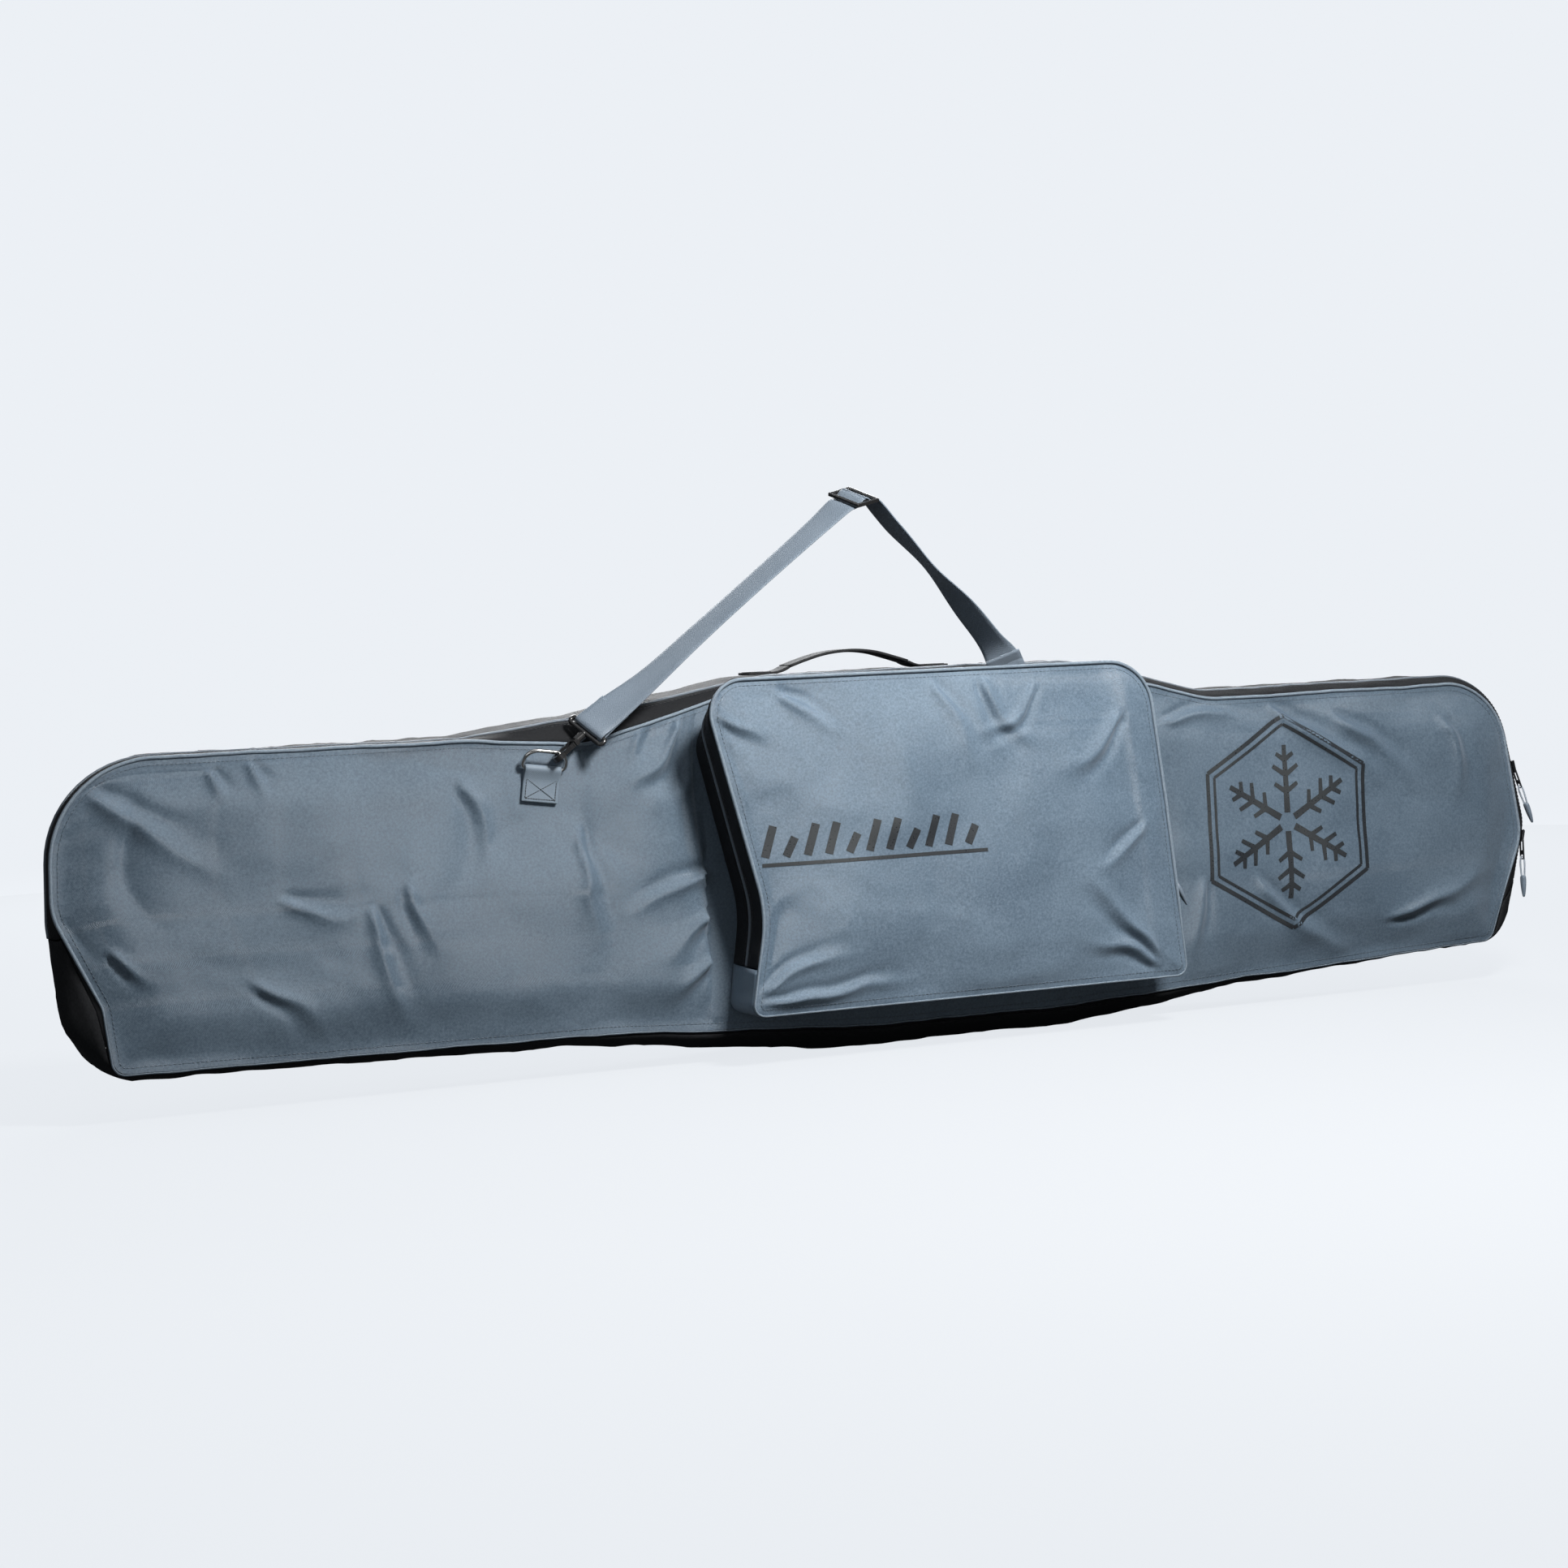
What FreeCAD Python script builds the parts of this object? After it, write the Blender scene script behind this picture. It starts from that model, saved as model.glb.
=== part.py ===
import FreeCAD, Part
import math
import os

from FreeCAD import Placement, Rotation, Vector

# Snowboard bag: a padded soft bag, closed by a zip that runs over its top, with a zipped box pocket on
# the front panel, a shoulder strap with swivel snap hooks on two D-rings, and a grab handle on the top.
# Frame: millimetres, +X along the bag, -Y out of the front panel, +Z up.
# Origin: centre of the bag's footprint, on the flat of the bottom gusset.

os.makedirs("parts", exist_ok=True)
doc = FreeCAD.newDocument("snowboard_bag")

# ---------------------------------------------------------------- driving dimensions
DIMENSIONS = [
    ("bag_length", 1630, "over the gusset, end to end"),
    ("end_top", 331, "top of the front panel near the ends"),
    ("end_bottom", 46, "bottom of the front panel at the ends"),
    ("panel_sag", 22, "bottom of the front panel at the middle"),
    ("panel_hump", 370, "top of the front panel over the bindings"),
    ("gusset_hump", 378, "top of the gusset over the bindings"),
    ("front_y", -28, "outer face of the front panel"),
    ("round_y", -2, "where the rounded front edge ends"),
    ("back_round_y", 76, "where the rounded back edge starts"),
    ("back_y", 100, "outer face of the back panel"),
    ("back_inset", 14, "how far the back panel is drawn in"),
    ("cloth", 1.6, "outer cloth with its coating"),
    ("foam", 5, "padding"),
    ("lining", 0.8, "inner lining"),
    ("foam_inset", 14, "padding edge inside the seam"),
    ("piping_radius", 1.5, "seam piping"),
    ("pocket_y", -92, "front edge of the pocket"),
    ("pocket_top", 377, "top of the pocket's front edge"),
    ("pocket_bottom", 50, "bottom of the pocket"),
    ("pocket_crown", 12, "bulge of the pocket front"),
    ("zip_y", -7, "middle of the main zip"),
    ("pocket_zip_y", -62, "middle of the pocket zip"),
    ("zip_half", 5, "half width of a zip's tapes"),
    ("zip_gap", 0.3, "gap between the two halves of a zip"),
    ("coil_rise", 1.0, "height of the zip coil above the cloth"),
    ("webbing_width", 38, "strap webbing"),
    ("webbing", 1.6, "thickness of the strap webbing"),
    ("ring_wire", 2, "radius of the D-ring wire"),
    ("ring_half", 22, "half length of the D-ring's straight bar"),
    ("ring_rise", 20, "height of the D-ring's arch above its bar"),
    ("ring_lean", 31, "degrees that the D-rings lean forward"),
    ("tab_width", 36, "D-ring tab"),
    ("tab_drop", 30, "length of the tab below the D-ring's bar"),
    ("hook_half", 7.5, "half depth of the snap hook"),
    ("hook_bar", 3.6, "depth of the hook's bars"),
    ("hook_thick", 5.5, "thickness of the snap hook"),
    ("hook_bend", 31, "from the swivel down to the centre of the hook's bend"),
    ("barrel_radius", 4.2, "swivel barrel"),
    ("barrel_height", 9, "swivel barrel"),
    ("post_radius", 2, "swivel post"),
    ("swivel_fit", 0.06, "radial clearance of the swivel post"),
    ("gate_pivot", 14.6, "from the swivel down to the gate's pivot"),
    ("gate_length", 12.0, "from the pivot to the gate's end"),
    ("gate_thick", 4.4, "thickness of the gate"),
    ("eye_wire", 2.2, "radius of the eye's wire"),
    ("eye_half", 21.5, "half length of the eye, on its wire's centre"),
    ("eye_rise", 7, "distance between the eye's two long bars"),
    ("handle_width", 28, "grab handle webbing"),
    ("handle_thick", 3, "grab handle, two layers of webbing"),
    ("handle_y", 45, "middle of the grab handle"),
    ("slider_length", 14, "zip slider"),
    ("slider_width", 9, "zip slider"),
    ("slider_plate", 1.6, "thickness of the slider's plate"),
    ("bridge_rise", 3.4, "height of the slider's bridge"),
    ("tab_plate", 1.3, "thickness of a pull's metal tab"),
    ("pull_tab_length", 22, "a pull's metal tab"),
    ("cord_radius", 1.0, "pull cord"),
    ("end_length", 24, "moulded end of a pull"),
]

sheet = doc.addObject("Spreadsheet::Sheet", "Dimensions")
for row, (alias, value, note) in enumerate(DIMENSIONS, start=1):
    sheet.set(f"A{row}", alias)
    sheet.set(f"B{row}", str(value))
    sheet.setAlias(f"B{row}", alias)
    sheet.set(f"C{row}", note)
doc.recompute()


def size(alias):
    """A driving dimension, read from the spreadsheet."""
    return float(sheet.get(alias))


def cell(expression):
    """An expression with each alias in braces turned into a reference to its cell."""
    return expression.replace("{", "Dimensions.").replace("}", "")


SUBPARTS = []


def keep(item, label):
    """Names a document object as one sub-part of the bag."""
    item.Label = label
    SUBPARTS.append(item)
    return item


def shape_feature(label, shape, placement=None):
    """A sub-part whose shape comes from Part's own functions."""
    if shape.Volume < 0:
        shape.reverse()
    item = doc.addObject("Part::Feature", label)
    item.Shape = shape
    if placement is not None:
        item.Placement = placement
    return keep(item, label)


# ---------------------------------------------------------------- outlines
# An outline is a closed polygon seen from the front, anticlockwise, of corners (x, z, radius).
HALF = size("bag_length") / 2
TOP = size("end_top")
LOW = size("end_bottom")
SAG = size("panel_sag")

FRONT = [
    (-HALF + 51, LOW, 14),
    (-290, LOW - 6, 600),
    (0, SAG, 600),
    (210, SAG, 600),
    (420, LOW - 14, 600),
    (HALF - 60, LOW, 16),
    (HALF - 15, 162, 60),
    (HALF - 44, TOP + 3, 80),
    (400, TOP + 1, 120),
    (240, size("panel_hump"), 110),
    (-120, size("panel_hump"), 120),
    (-300, TOP - 10, 60),
    (-420, TOP, 120),
    (-HALF + 7, TOP, 95),
    (-HALF + 3, 195, 60),
    (-HALF + 44, 108, 30),
]
GUSSET = [
    (-HALF + 47, LOW - 6, 55),
    (-290, LOW - 18, 600),
    (-40, 0, 600),
    (240, 0, 600),
    (420, LOW - 22, 600),
    (HALF - 25, LOW, 50),
    (HALF + 3, 178, 45),
    (HALF - 35, TOP + 10, 85),
    (400, TOP + 9, 120),
    (240, size("gusset_hump"), 110),
    (-100, size("gusset_hump"), 120),
    (-290, TOP + 16, 200),
    (-420, TOP + 1, 150),
    (-HALF + 8, TOP, 95),
    (-HALF + 3, 185, 70),
    (-HALF + 11, 95, 60),
]
# The back's left end is drawn in, and its top corner the most.
BACK_TAPER = {0: 6, 13: 38, 14: 34, 15: 14}
POCKET_FRONT = [
    (-168, size("pocket_bottom"), 12),
    (-150, 150, 120),
    (-208, size("pocket_top"), 34),
    (285, size("pocket_top"), 52),
    (303, 230, 100),
    (322, size("pocket_bottom"), 12),
]
POCKET_REAR = [
    (-165, size("pocket_bottom"), 12),
    (-150, 150, 120),
    (-198, 350, 30),
    (288, 230, 34),
    (300, 200, 60),
    (318, size("pocket_bottom"), 12),
]
POCKET_FRONT.reverse()
POCKET_REAR.reverse()

# Where the zips start and end: the index of a corner and the fraction of the straight side after it.
ZIP_LEFT = (14, 0.10)
ZIP_RIGHT = (5, 0.35)
POCKET_ZIP_RIGHT = (0, 0.22)
POCKET_ZIP_LEFT = (4, 0.45)
END_GAP = 0.02


def lerp(start, end, share):
    return [tuple(a + (b - a) * share for a, b in zip(p, q)) for p, q in zip(start, end)]


def unit(x, z):
    length = math.hypot(x, z)
    return x / length, z / length


def inset(corners, distance):
    """The outline moved inward by a distance; its rounded corners keep their centres."""
    moved = []
    for index, (x, z, radius) in enumerate(corners):
        before = corners[index - 1]
        after = corners[(index + 1) % len(corners)]
        ux, uz = unit(x - before[0], z - before[1])
        vx, vz = unit(after[0] - x, after[1] - z)
        turn = ux * vz - uz * vx
        half = math.tan(math.atan2(turn, ux * vx + uz * vz) / 2)
        nx = -uz - ux * half
        nz = ux - uz * half
        moved.append((x + nx * distance, z + nz * distance, max(radius - math.copysign(distance, turn), 1.0)))
    return moved


def scaled(corners, factor):
    """The outline drawn towards its own middle."""
    middle_x = sum(corner[0] for corner in corners) / len(corners)
    middle_z = sum(corner[1] for corner in corners) / len(corners)
    return [
        (middle_x + (x - middle_x) * factor, middle_z + (z - middle_z) * factor, radius * factor)
        for x, z, radius in corners
    ]


def corner_arc(corners, index):
    """Start, middle and end (x, z) of the arc that rounds one corner."""
    x, z, radius = corners[index]
    before = corners[index - 1]
    after = corners[(index + 1) % len(corners)]
    ux, uz = unit(x - before[0], z - before[1])
    vx, vz = unit(after[0] - x, after[1] - z)
    turn = math.atan2(ux * vz - uz * vx, ux * vx + uz * vz)
    tangent = radius * math.tan(abs(turn) / 2)
    start = (x - ux * tangent, z - uz * tangent)
    end = (x + vx * tangent, z + vz * tangent)
    bx, bz = unit(vx - ux, vz - uz)
    reach = radius / math.cos(turn / 2) - radius
    return start, (x + bx * reach, z + bz * reach), end


def line(start, end, y):
    return Part.LineSegment(Vector(start[0], y, start[1]), Vector(end[0], y, end[1])).toShape()


def arc(start, middle, end, y):
    points = [Vector(x, y, z) for x, z in (start, middle, end)]
    return Part.Arc(*points).toShape()


def stretch(corners, start, end, y):
    """Edges of the outline from one place on a straight side to another, anticlockwise."""
    count = len(corners)
    arcs = [corner_arc(corners, index) for index in range(count)]

    def place(where):
        index, share = where
        first = arcs[index][2]
        last = arcs[(index + 1) % count][0]
        return tuple(a + (b - a) * share for a, b in zip(first, last))

    edges = []
    here = place(start)
    index = start[0]
    while True:
        index = (index + 1) % count
        edges.append(line(here, arcs[index][0], y))
        edges.append(arc(*arcs[index], y))
        here = arcs[index][2]
        if index == end[0]:
            break
    edges.append(line(here, place(end), y))
    return edges


def loop(corners, y):
    """The whole outline as a closed wire."""
    edges = []
    for index in range(len(corners)):
        after = (index + 1) % len(corners)
        edges.append(arc(*corner_arc(corners, index), y))
        edges.append(line(corner_arc(corners, index)[2], corner_arc(corners, after)[0], y))
    return Part.Wire(edges)


def strip_wire(corners, start, end, outer, inner, y):
    """A closed wire round a strip of cloth: outer side, end, inner side back, end."""
    out = stretch(inset(corners, outer), start, end, y)
    back = stretch(inset(corners, inner), start, end, y)
    out_end = out[-1].Vertexes[-1].Point
    back_end = back[-1].Vertexes[-1].Point
    out_start = out[0].Vertexes[0].Point
    back_start = back[0].Vertexes[0].Point
    cap = Part.LineSegment(out_end, back_end).toShape()
    close = Part.LineSegment(back_start, out_start).toShape()
    return Part.Wire(out + [cap] + back[::-1] + [close])


def bag_section(y):
    """Outline of the bag at one depth: rounded front edge, tapered gusset, drawn-in back."""
    front_y = size("front_y")
    round_y = size("round_y")
    back_round_y = size("back_round_y")
    back_y = size("back_y")
    if y < round_y:
        share = (y - front_y) / (round_y - front_y)
        return lerp(FRONT, GUSSET, share * (2 - share))
    taper = (y - round_y) / (back_y - round_y)
    corners = [(x + BACK_TAPER.get(index, 0) * taper, z, radius) for index, (x, z, radius) in enumerate(GUSSET)]
    if y > back_round_y:
        share = (y - back_round_y) / (back_y - back_round_y)
        return inset(corners, size("back_inset") * share ** 2)
    return corners


def pocket_section(y):
    """Outline of the pocket at one depth, from the front panel to its front edge."""
    share = (y - size("front_y")) / (size("pocket_y") - size("front_y"))
    share = min(share, 1.0)
    return lerp(POCKET_REAR, POCKET_FRONT, share)


def strip(label, section, depths, start, end, outer, inner):
    """A strip of cloth that follows part of an outline through several depths."""
    wires = [strip_wire(section(y), start, end, outer, inner, y) for y in depths]
    return shape_feature(label, Part.makeLoft(wires, True, True))


def band(label, section, depths, outer, inner):
    """A strip of cloth that follows the whole outline through several depths."""
    outside = Part.makeLoft([loop(inset(section(y), outer), y) for y in depths], True, True)
    inside = Part.makeLoft([loop(inset(section(y), inner), y) for y in depths], True, True)
    return shape_feature(label, outside.cut(inside))


def panel(label, corners, rear_y, thickness):
    """A flat panel padded forward from a sketch of its outline."""
    body = doc.addObject("PartDesign::Body", label)
    sketch = body.newObject("Sketcher::SketchObject", label + "_outline")
    plane = next(item for item in body.Origin.OriginFeatures if item.Role == "XZ_Plane")
    sketch.AttachmentSupport = (plane, "")
    sketch.MapMode = "FlatFace"
    for index in range(len(corners)):
        after = (index + 1) % len(corners)
        start, middle, end = corner_arc(corners, index)
        following = corner_arc(corners, after)[0]
        points = [Vector(x, z, 0) for x, z in (start, middle, end, following)]
        sketch.addGeometry(Part.Arc(points[0], points[1], points[2]), False)
        sketch.addGeometry(Part.LineSegment(points[2], points[3]), False)
    pad = body.newObject("PartDesign::Pad", label + "_pad")
    pad.Profile = sketch
    pad.setExpression("Length", cell(thickness))
    body.Placement = Placement(Vector(0, rear_y, 0), Rotation())
    return keep(body, label)


# ---------------------------------------------------------------- main compartment
CLOTH = size("cloth")
FOAM = size("foam")
LINING = size("lining")
FRONT_Y = size("front_y")
ROUND_Y = size("round_y")
BACK_Y = size("back_y")
BACK_ROUND_Y = size("back_round_y")
ZIP_Y = size("zip_y")
ZIP_HALF = size("zip_half")
ZIP_GAP = size("zip_gap")
COIL = size("coil_rise")

panel("front_panel", FRONT, FRONT_Y + CLOTH, "{cloth}")
panel("front_foam", inset(FRONT, size("foam_inset")), FRONT_Y + CLOTH + FOAM, "{foam}")
panel("front_lining", inset(FRONT, size("foam_inset") - 1), FRONT_Y + CLOTH + FOAM + LINING, "{lining}")
panel("back_panel", bag_section(BACK_Y), BACK_Y, "{cloth}")
panel("back_foam", inset(bag_section(BACK_Y), size("foam_inset")), BACK_Y - CLOTH, "{foam}")
panel("back_lining", inset(bag_section(BACK_Y), size("foam_inset") - 1), BACK_Y - CLOTH - FOAM, "{lining}")

BAND_DEPTHS = [FRONT_Y + CLOTH, FRONT_Y + 6, FRONT_Y + 11, ZIP_Y - ZIP_HALF]
strip("zip_band_front", bag_section, BAND_DEPTHS, ZIP_RIGHT, ZIP_LEFT, 0, CLOTH)
FRONT_TAPE_DEPTHS = [ZIP_Y - ZIP_HALF, ZIP_Y - ZIP_GAP / 2]
strip("main_zip_front_tape", bag_section, FRONT_TAPE_DEPTHS, ZIP_RIGHT, ZIP_LEFT, -COIL, CLOTH)
REAR_TAPE_DEPTHS = [ZIP_Y + ZIP_GAP / 2, ROUND_Y]
strip("main_zip_rear_tape", bag_section, REAR_TAPE_DEPTHS, ZIP_RIGHT, ZIP_LEFT, -COIL, CLOTH)
strip("zip_band_rear", bag_section, [ROUND_Y, ROUND_Y + 14], ZIP_RIGHT, ZIP_LEFT, 0, CLOTH)

UPPER_DEPTHS = [ROUND_Y + 14, BACK_ROUND_Y, BACK_Y - 10, BACK_Y - CLOTH]
RIGHT_SEAM = (7, 0.10)
LEFT_SEAM = (12, 0.85)
strip("gusset_right_end", bag_section, UPPER_DEPTHS, ZIP_RIGHT, RIGHT_SEAM, 0, CLOTH)
strip("gusset_top", bag_section, UPPER_DEPTHS, RIGHT_SEAM, LEFT_SEAM, 0, CLOTH)
strip("gusset_left_end", bag_section, UPPER_DEPTHS, LEFT_SEAM, ZIP_LEFT, 0, CLOTH)

LID_GAP = 0.4
LOWER_DEPTHS = [FRONT_Y + CLOTH + LID_GAP, FRONT_Y + 8, FRONT_Y + 15, ROUND_Y, BACK_ROUND_Y, BACK_Y - 10, BACK_Y - CLOTH]
ZIP_LEFT_BELOW = (ZIP_LEFT[0], ZIP_LEFT[1] + END_GAP)
ZIP_RIGHT_BELOW = (ZIP_RIGHT[0], ZIP_RIGHT[1] - END_GAP)
LEFT_BOTTOM_SEAM = (0, 0.12)
RIGHT_BOTTOM_SEAM = (4, 0.85)
strip("gusset_lower_left", bag_section, LOWER_DEPTHS, ZIP_LEFT_BELOW, LEFT_BOTTOM_SEAM, 0, CLOTH)
strip("gusset_bottom", bag_section, LOWER_DEPTHS, LEFT_BOTTOM_SEAM, RIGHT_BOTTOM_SEAM, 0, CLOTH)
strip("gusset_lower_right", bag_section, LOWER_DEPTHS, RIGHT_BOTTOM_SEAM, ZIP_RIGHT_BELOW, 0, CLOTH)

PAD_DEPTHS = [ROUND_Y + 16, BACK_ROUND_Y, BACK_Y - 10]
PAD_FIT = 0.2
strip("gusset_foam_top", bag_section, PAD_DEPTHS, ZIP_RIGHT, ZIP_LEFT, CLOTH + PAD_FIT, CLOTH + FOAM)
strip("gusset_foam_bottom", bag_section, PAD_DEPTHS, ZIP_LEFT_BELOW, ZIP_RIGHT_BELOW, CLOTH + PAD_FIT, CLOTH + FOAM)
band("gusset_lining", bag_section, PAD_DEPTHS, CLOTH + FOAM, CLOTH + FOAM + LINING)


# ---------------------------------------------------------------- round sections along a path
def tube_path(points, share=0.45):
    """Straight runs joined by tangent arcs; also the arcs' radii."""
    edges = []
    radii = []
    here = points[0]
    for index in range(1, len(points) - 1):
        before = points[index] - points[index - 1]
        after = points[index + 1] - points[index]
        shorter = min(before.Length, after.Length)
        turn = before.getAngle(after)
        back = share * shorter
        radii.append(back / math.tan(turn / 2))
        u = Vector(before).normalize()
        v = Vector(after).normalize()
        start = points[index] - u * back
        end = points[index] + v * back
        radius = radii[-1]
        centre_way = Vector(v - u).normalize()
        middle = points[index] + centre_way * (radius / math.cos(turn / 2) - radius)
        edges.append(Part.LineSegment(here, start).toShape())
        edges.append(Part.Arc(start, middle, end).toShape())
        here = end
    edges.append(Part.LineSegment(here, points[-1]).toShape())
    return Part.Wire(edges), radii


def tube(path, radius):
    """A round bar along a wire that starts with a straight run."""
    first = path.OrderedEdges[0]
    start = first.valueAt(first.FirstParameter)
    way = first.tangentAt(first.FirstParameter)
    section = Part.Wire(Part.makeCircle(radius, start, way))
    return path.makePipeShell([section], True, False)


def piping(label, corners, y):
    """A piped seam: a round cord along a closed outline."""
    path = loop(corners, y)
    edges = path.OrderedEdges
    start = edges[1].valueAt(edges[1].FirstParameter)
    way = edges[1].tangentAt(edges[1].FirstParameter)
    section = Part.Wire(Part.makeCircle(size("piping_radius"), start, way))
    spine = Part.Wire(edges[1:] + edges[:1])
    return shape_feature(label, spine.makePipeShell([section], True, False))


PIPING = size("piping_radius")
PIPING_INSET = PIPING + 0.1
piping("front_piping", inset(FRONT, PIPING_INSET), FRONT_Y - PIPING_INSET)
piping("back_piping", inset(bag_section(BACK_Y), PIPING_INSET), BACK_Y + PIPING_INSET)

# ---------------------------------------------------------------- front pocket
POCKET_Y = size("pocket_y")
POCKET_ZIP_Y = size("pocket_zip_y")
CROWN = size("pocket_crown")


def dish(front, crown_y, rear_y, levels):
    """A closed solid with a crowned front: the outline drawn in as it rises."""
    wires = [loop(front, rear_y)]
    wires += [loop(scaled(front, factor), crown_y - CROWN * rise) for rise, factor in levels]
    return Part.makeLoft(wires, True, True)


CROWN_LEVELS = [(0, 1), (0.5, 0.9), (0.88, 0.7), (1, 0.4)]
outside = dish(POCKET_FRONT, POCKET_Y, POCKET_Y + CLOTH, CROWN_LEVELS)
inside = dish(inset(POCKET_FRONT, 3 * CLOTH), POCKET_Y + CLOTH, POCKET_Y + 2 * CLOTH, CROWN_LEVELS)
shape_feature("pocket_front", outside.cut(inside))
CROWN_CLEARANCE = 1.0
piping("pocket_piping", inset(POCKET_FRONT, PIPING_INSET), POCKET_Y - PIPING_INSET - CROWN_CLEARANCE)

FLAP_DEPTHS = [POCKET_Y + CLOTH, POCKET_ZIP_Y - ZIP_HALF]
strip("pocket_gusset_front", pocket_section, FLAP_DEPTHS, POCKET_ZIP_RIGHT, POCKET_ZIP_LEFT, 0, CLOTH)
FLAP_TAPE_DEPTHS = [POCKET_ZIP_Y - ZIP_HALF, POCKET_ZIP_Y - ZIP_GAP / 2]
strip("pocket_zip_front_tape", pocket_section, FLAP_TAPE_DEPTHS, POCKET_ZIP_RIGHT, POCKET_ZIP_LEFT, -COIL, CLOTH)
BASE_TAPE_DEPTHS = [POCKET_ZIP_Y + ZIP_GAP / 2, POCKET_ZIP_Y + ZIP_HALF]
strip("pocket_zip_rear_tape", pocket_section, BASE_TAPE_DEPTHS, POCKET_ZIP_RIGHT, POCKET_ZIP_LEFT, -COIL, CLOTH)
BASE_DEPTHS = [POCKET_ZIP_Y + ZIP_HALF, FRONT_Y]
strip("pocket_gusset_rear", pocket_section, BASE_DEPTHS, POCKET_ZIP_RIGHT, POCKET_ZIP_LEFT, 0, CLOTH)
POCKET_LEFT_BELOW = (POCKET_ZIP_LEFT[0], POCKET_ZIP_LEFT[1] + END_GAP)
POCKET_RIGHT_BELOW = (POCKET_ZIP_RIGHT[0], POCKET_ZIP_RIGHT[1] - END_GAP)
BOTTOM_DEPTHS = [POCKET_Y + CLOTH + LID_GAP, FRONT_Y]
strip("pocket_bottom_gusset", pocket_section, BOTTOM_DEPTHS, POCKET_LEFT_BELOW, POCKET_RIGHT_BELOW, 0, CLOTH)


# ---------------------------------------------------------------- webbing
def ribbon(stations, width, thickness):
    """Webbing through stations of (centre, width direction), ruled between its rectangles."""
    wires = []
    for index, (centre, across) in enumerate(stations):
        before = stations[max(index - 1, 0)][0]
        after = stations[min(index + 1, len(stations) - 1)][0]
        along = (after - before).normalize()
        side = Vector(across).normalize()
        side = (side - along * side.dot(along)).normalize()
        normal = side.cross(along).normalize()
        half = side * (width / 2)
        rise = normal * (thickness / 2)
        corners = [centre - half - rise, centre + half - rise, centre + half + rise, centre - half + rise]
        wires.append(Part.makePolygon(corners + corners[:1]))
    return Part.makeLoft(wires, True, True)


def frame_of(origin, z_way, x_way):
    """A placement whose Z runs along z_way and whose X is as near x_way as it can be."""
    z_axis = Vector(z_way).normalize()
    x_axis = Vector(x_way)
    x_axis = (x_axis - z_axis * x_axis.dot(z_axis)).normalize()
    return Placement(origin, Rotation(x_axis, z_axis.cross(x_axis), z_axis, "ZXY"))


def primitive(kind, name, expressions, base=(0, 0, 0), rotation=None):
    """A Part primitive with its sizes bound to the spreadsheet; a text in base is an expression too."""
    item = doc.addObject(kind, name)
    for prop, expression in expressions.items():
        item.setExpression(prop, cell(expression))
    item.Placement = Placement(Vector(0, 0, 0), rotation or Rotation())
    for axis, value in zip("xyz", base):
        item.setExpression(f"Placement.Base.{axis}", cell(str(value)))
    return item


def fuse(name, items):
    item = doc.addObject("Part::MultiFuse", name)
    item.Shapes = items
    return item


def cut(name, base, tool):
    item = doc.addObject("Part::Cut", name)
    item.Base = base
    item.Tool = tool
    return item


ALONG_X = Rotation(Vector(0, 1, 0), 90)
ALONG_Y = Rotation(Vector(1, 0, 0), -90)

# ---------------------------------------------------------------- grab handle
HANDLE_Y = size("handle_y")
HUMP = size("gusset_hump")
HANDLE_RISE = size("handle_thick") / 2
HANDLE_LEFT = -56
HANDLE_RIGHT = 76
HANDLE_ARCH = [(-56, 7.0), (-40, 12), (-16, 18), (12, 20.5), (38, 18), (60, 12), (76, 7.0)]


def handle_station(x, rise):
    return Vector(x, HANDLE_Y, HUMP + rise), Vector(0, 1, 0)


arch = [handle_station(x, rise) for x, rise in HANDLE_ARCH]
shape_feature("handle_webbing", ribbon(arch, size("handle_width"), size("handle_thick")))
for side, foot, way in (("left", HANDLE_LEFT, -1), ("right", HANDLE_RIGHT, 1)):
    rises = [(foot + way * 1.2, 6.6), (foot + way * 8, 3.6), (foot + way * 17, HANDLE_RISE), (foot + way * 46, HANDLE_RISE)]
    if way < 0:
        rises.reverse()
    stations = [handle_station(x, rise) for x, rise in rises]
    shape_feature("handle_anchor_" + side, ribbon(stations, size("handle_width"), size("handle_thick")))

# ---------------------------------------------------------------- D-rings and their tabs
RING_Y = FRONT_Y - size("ring_wire") - CLOTH - 0.6
LEAN = math.radians(size("ring_lean"))
RINGS = {
    "left": (Vector(-347, RING_Y, 299), math.radians(-8)),
    "right": (Vector(182, RING_Y, 310), math.radians(-3)),
}


def ring_frame(side):
    """Placement of a D-ring: X along its straight bar, Z up its arch, leaning forward."""
    centre, tilt = RINGS[side]
    bar = Vector(math.cos(tilt), 0, math.sin(tilt))
    rise = Vector(-math.sin(tilt) * math.cos(LEAN), -math.sin(LEAN), math.cos(tilt) * math.cos(LEAN))
    return frame_of(centre, rise, bar)


def ring_outline():
    half = size("ring_half")
    rise = size("ring_rise")
    return [(-half, 0, 5), (half, 0, 5), (half - 2, rise, 13), (-half + 2, rise, 13)]


def d_ring(side):
    """A closed wire ring: straight bar, short sides and an arch."""
    path = loop(ring_outline(), 0)
    edges = path.OrderedEdges
    spine = Part.Wire(edges[1:] + edges[:1])
    first = edges[1]
    section = Part.Wire(
        Part.makeCircle(size("ring_wire"), first.valueAt(first.FirstParameter), first.tangentAt(first.FirstParameter))
    )
    shape_feature("dring_" + side, spine.makePipeShell([section], True, False), ring_frame(side))


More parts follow.
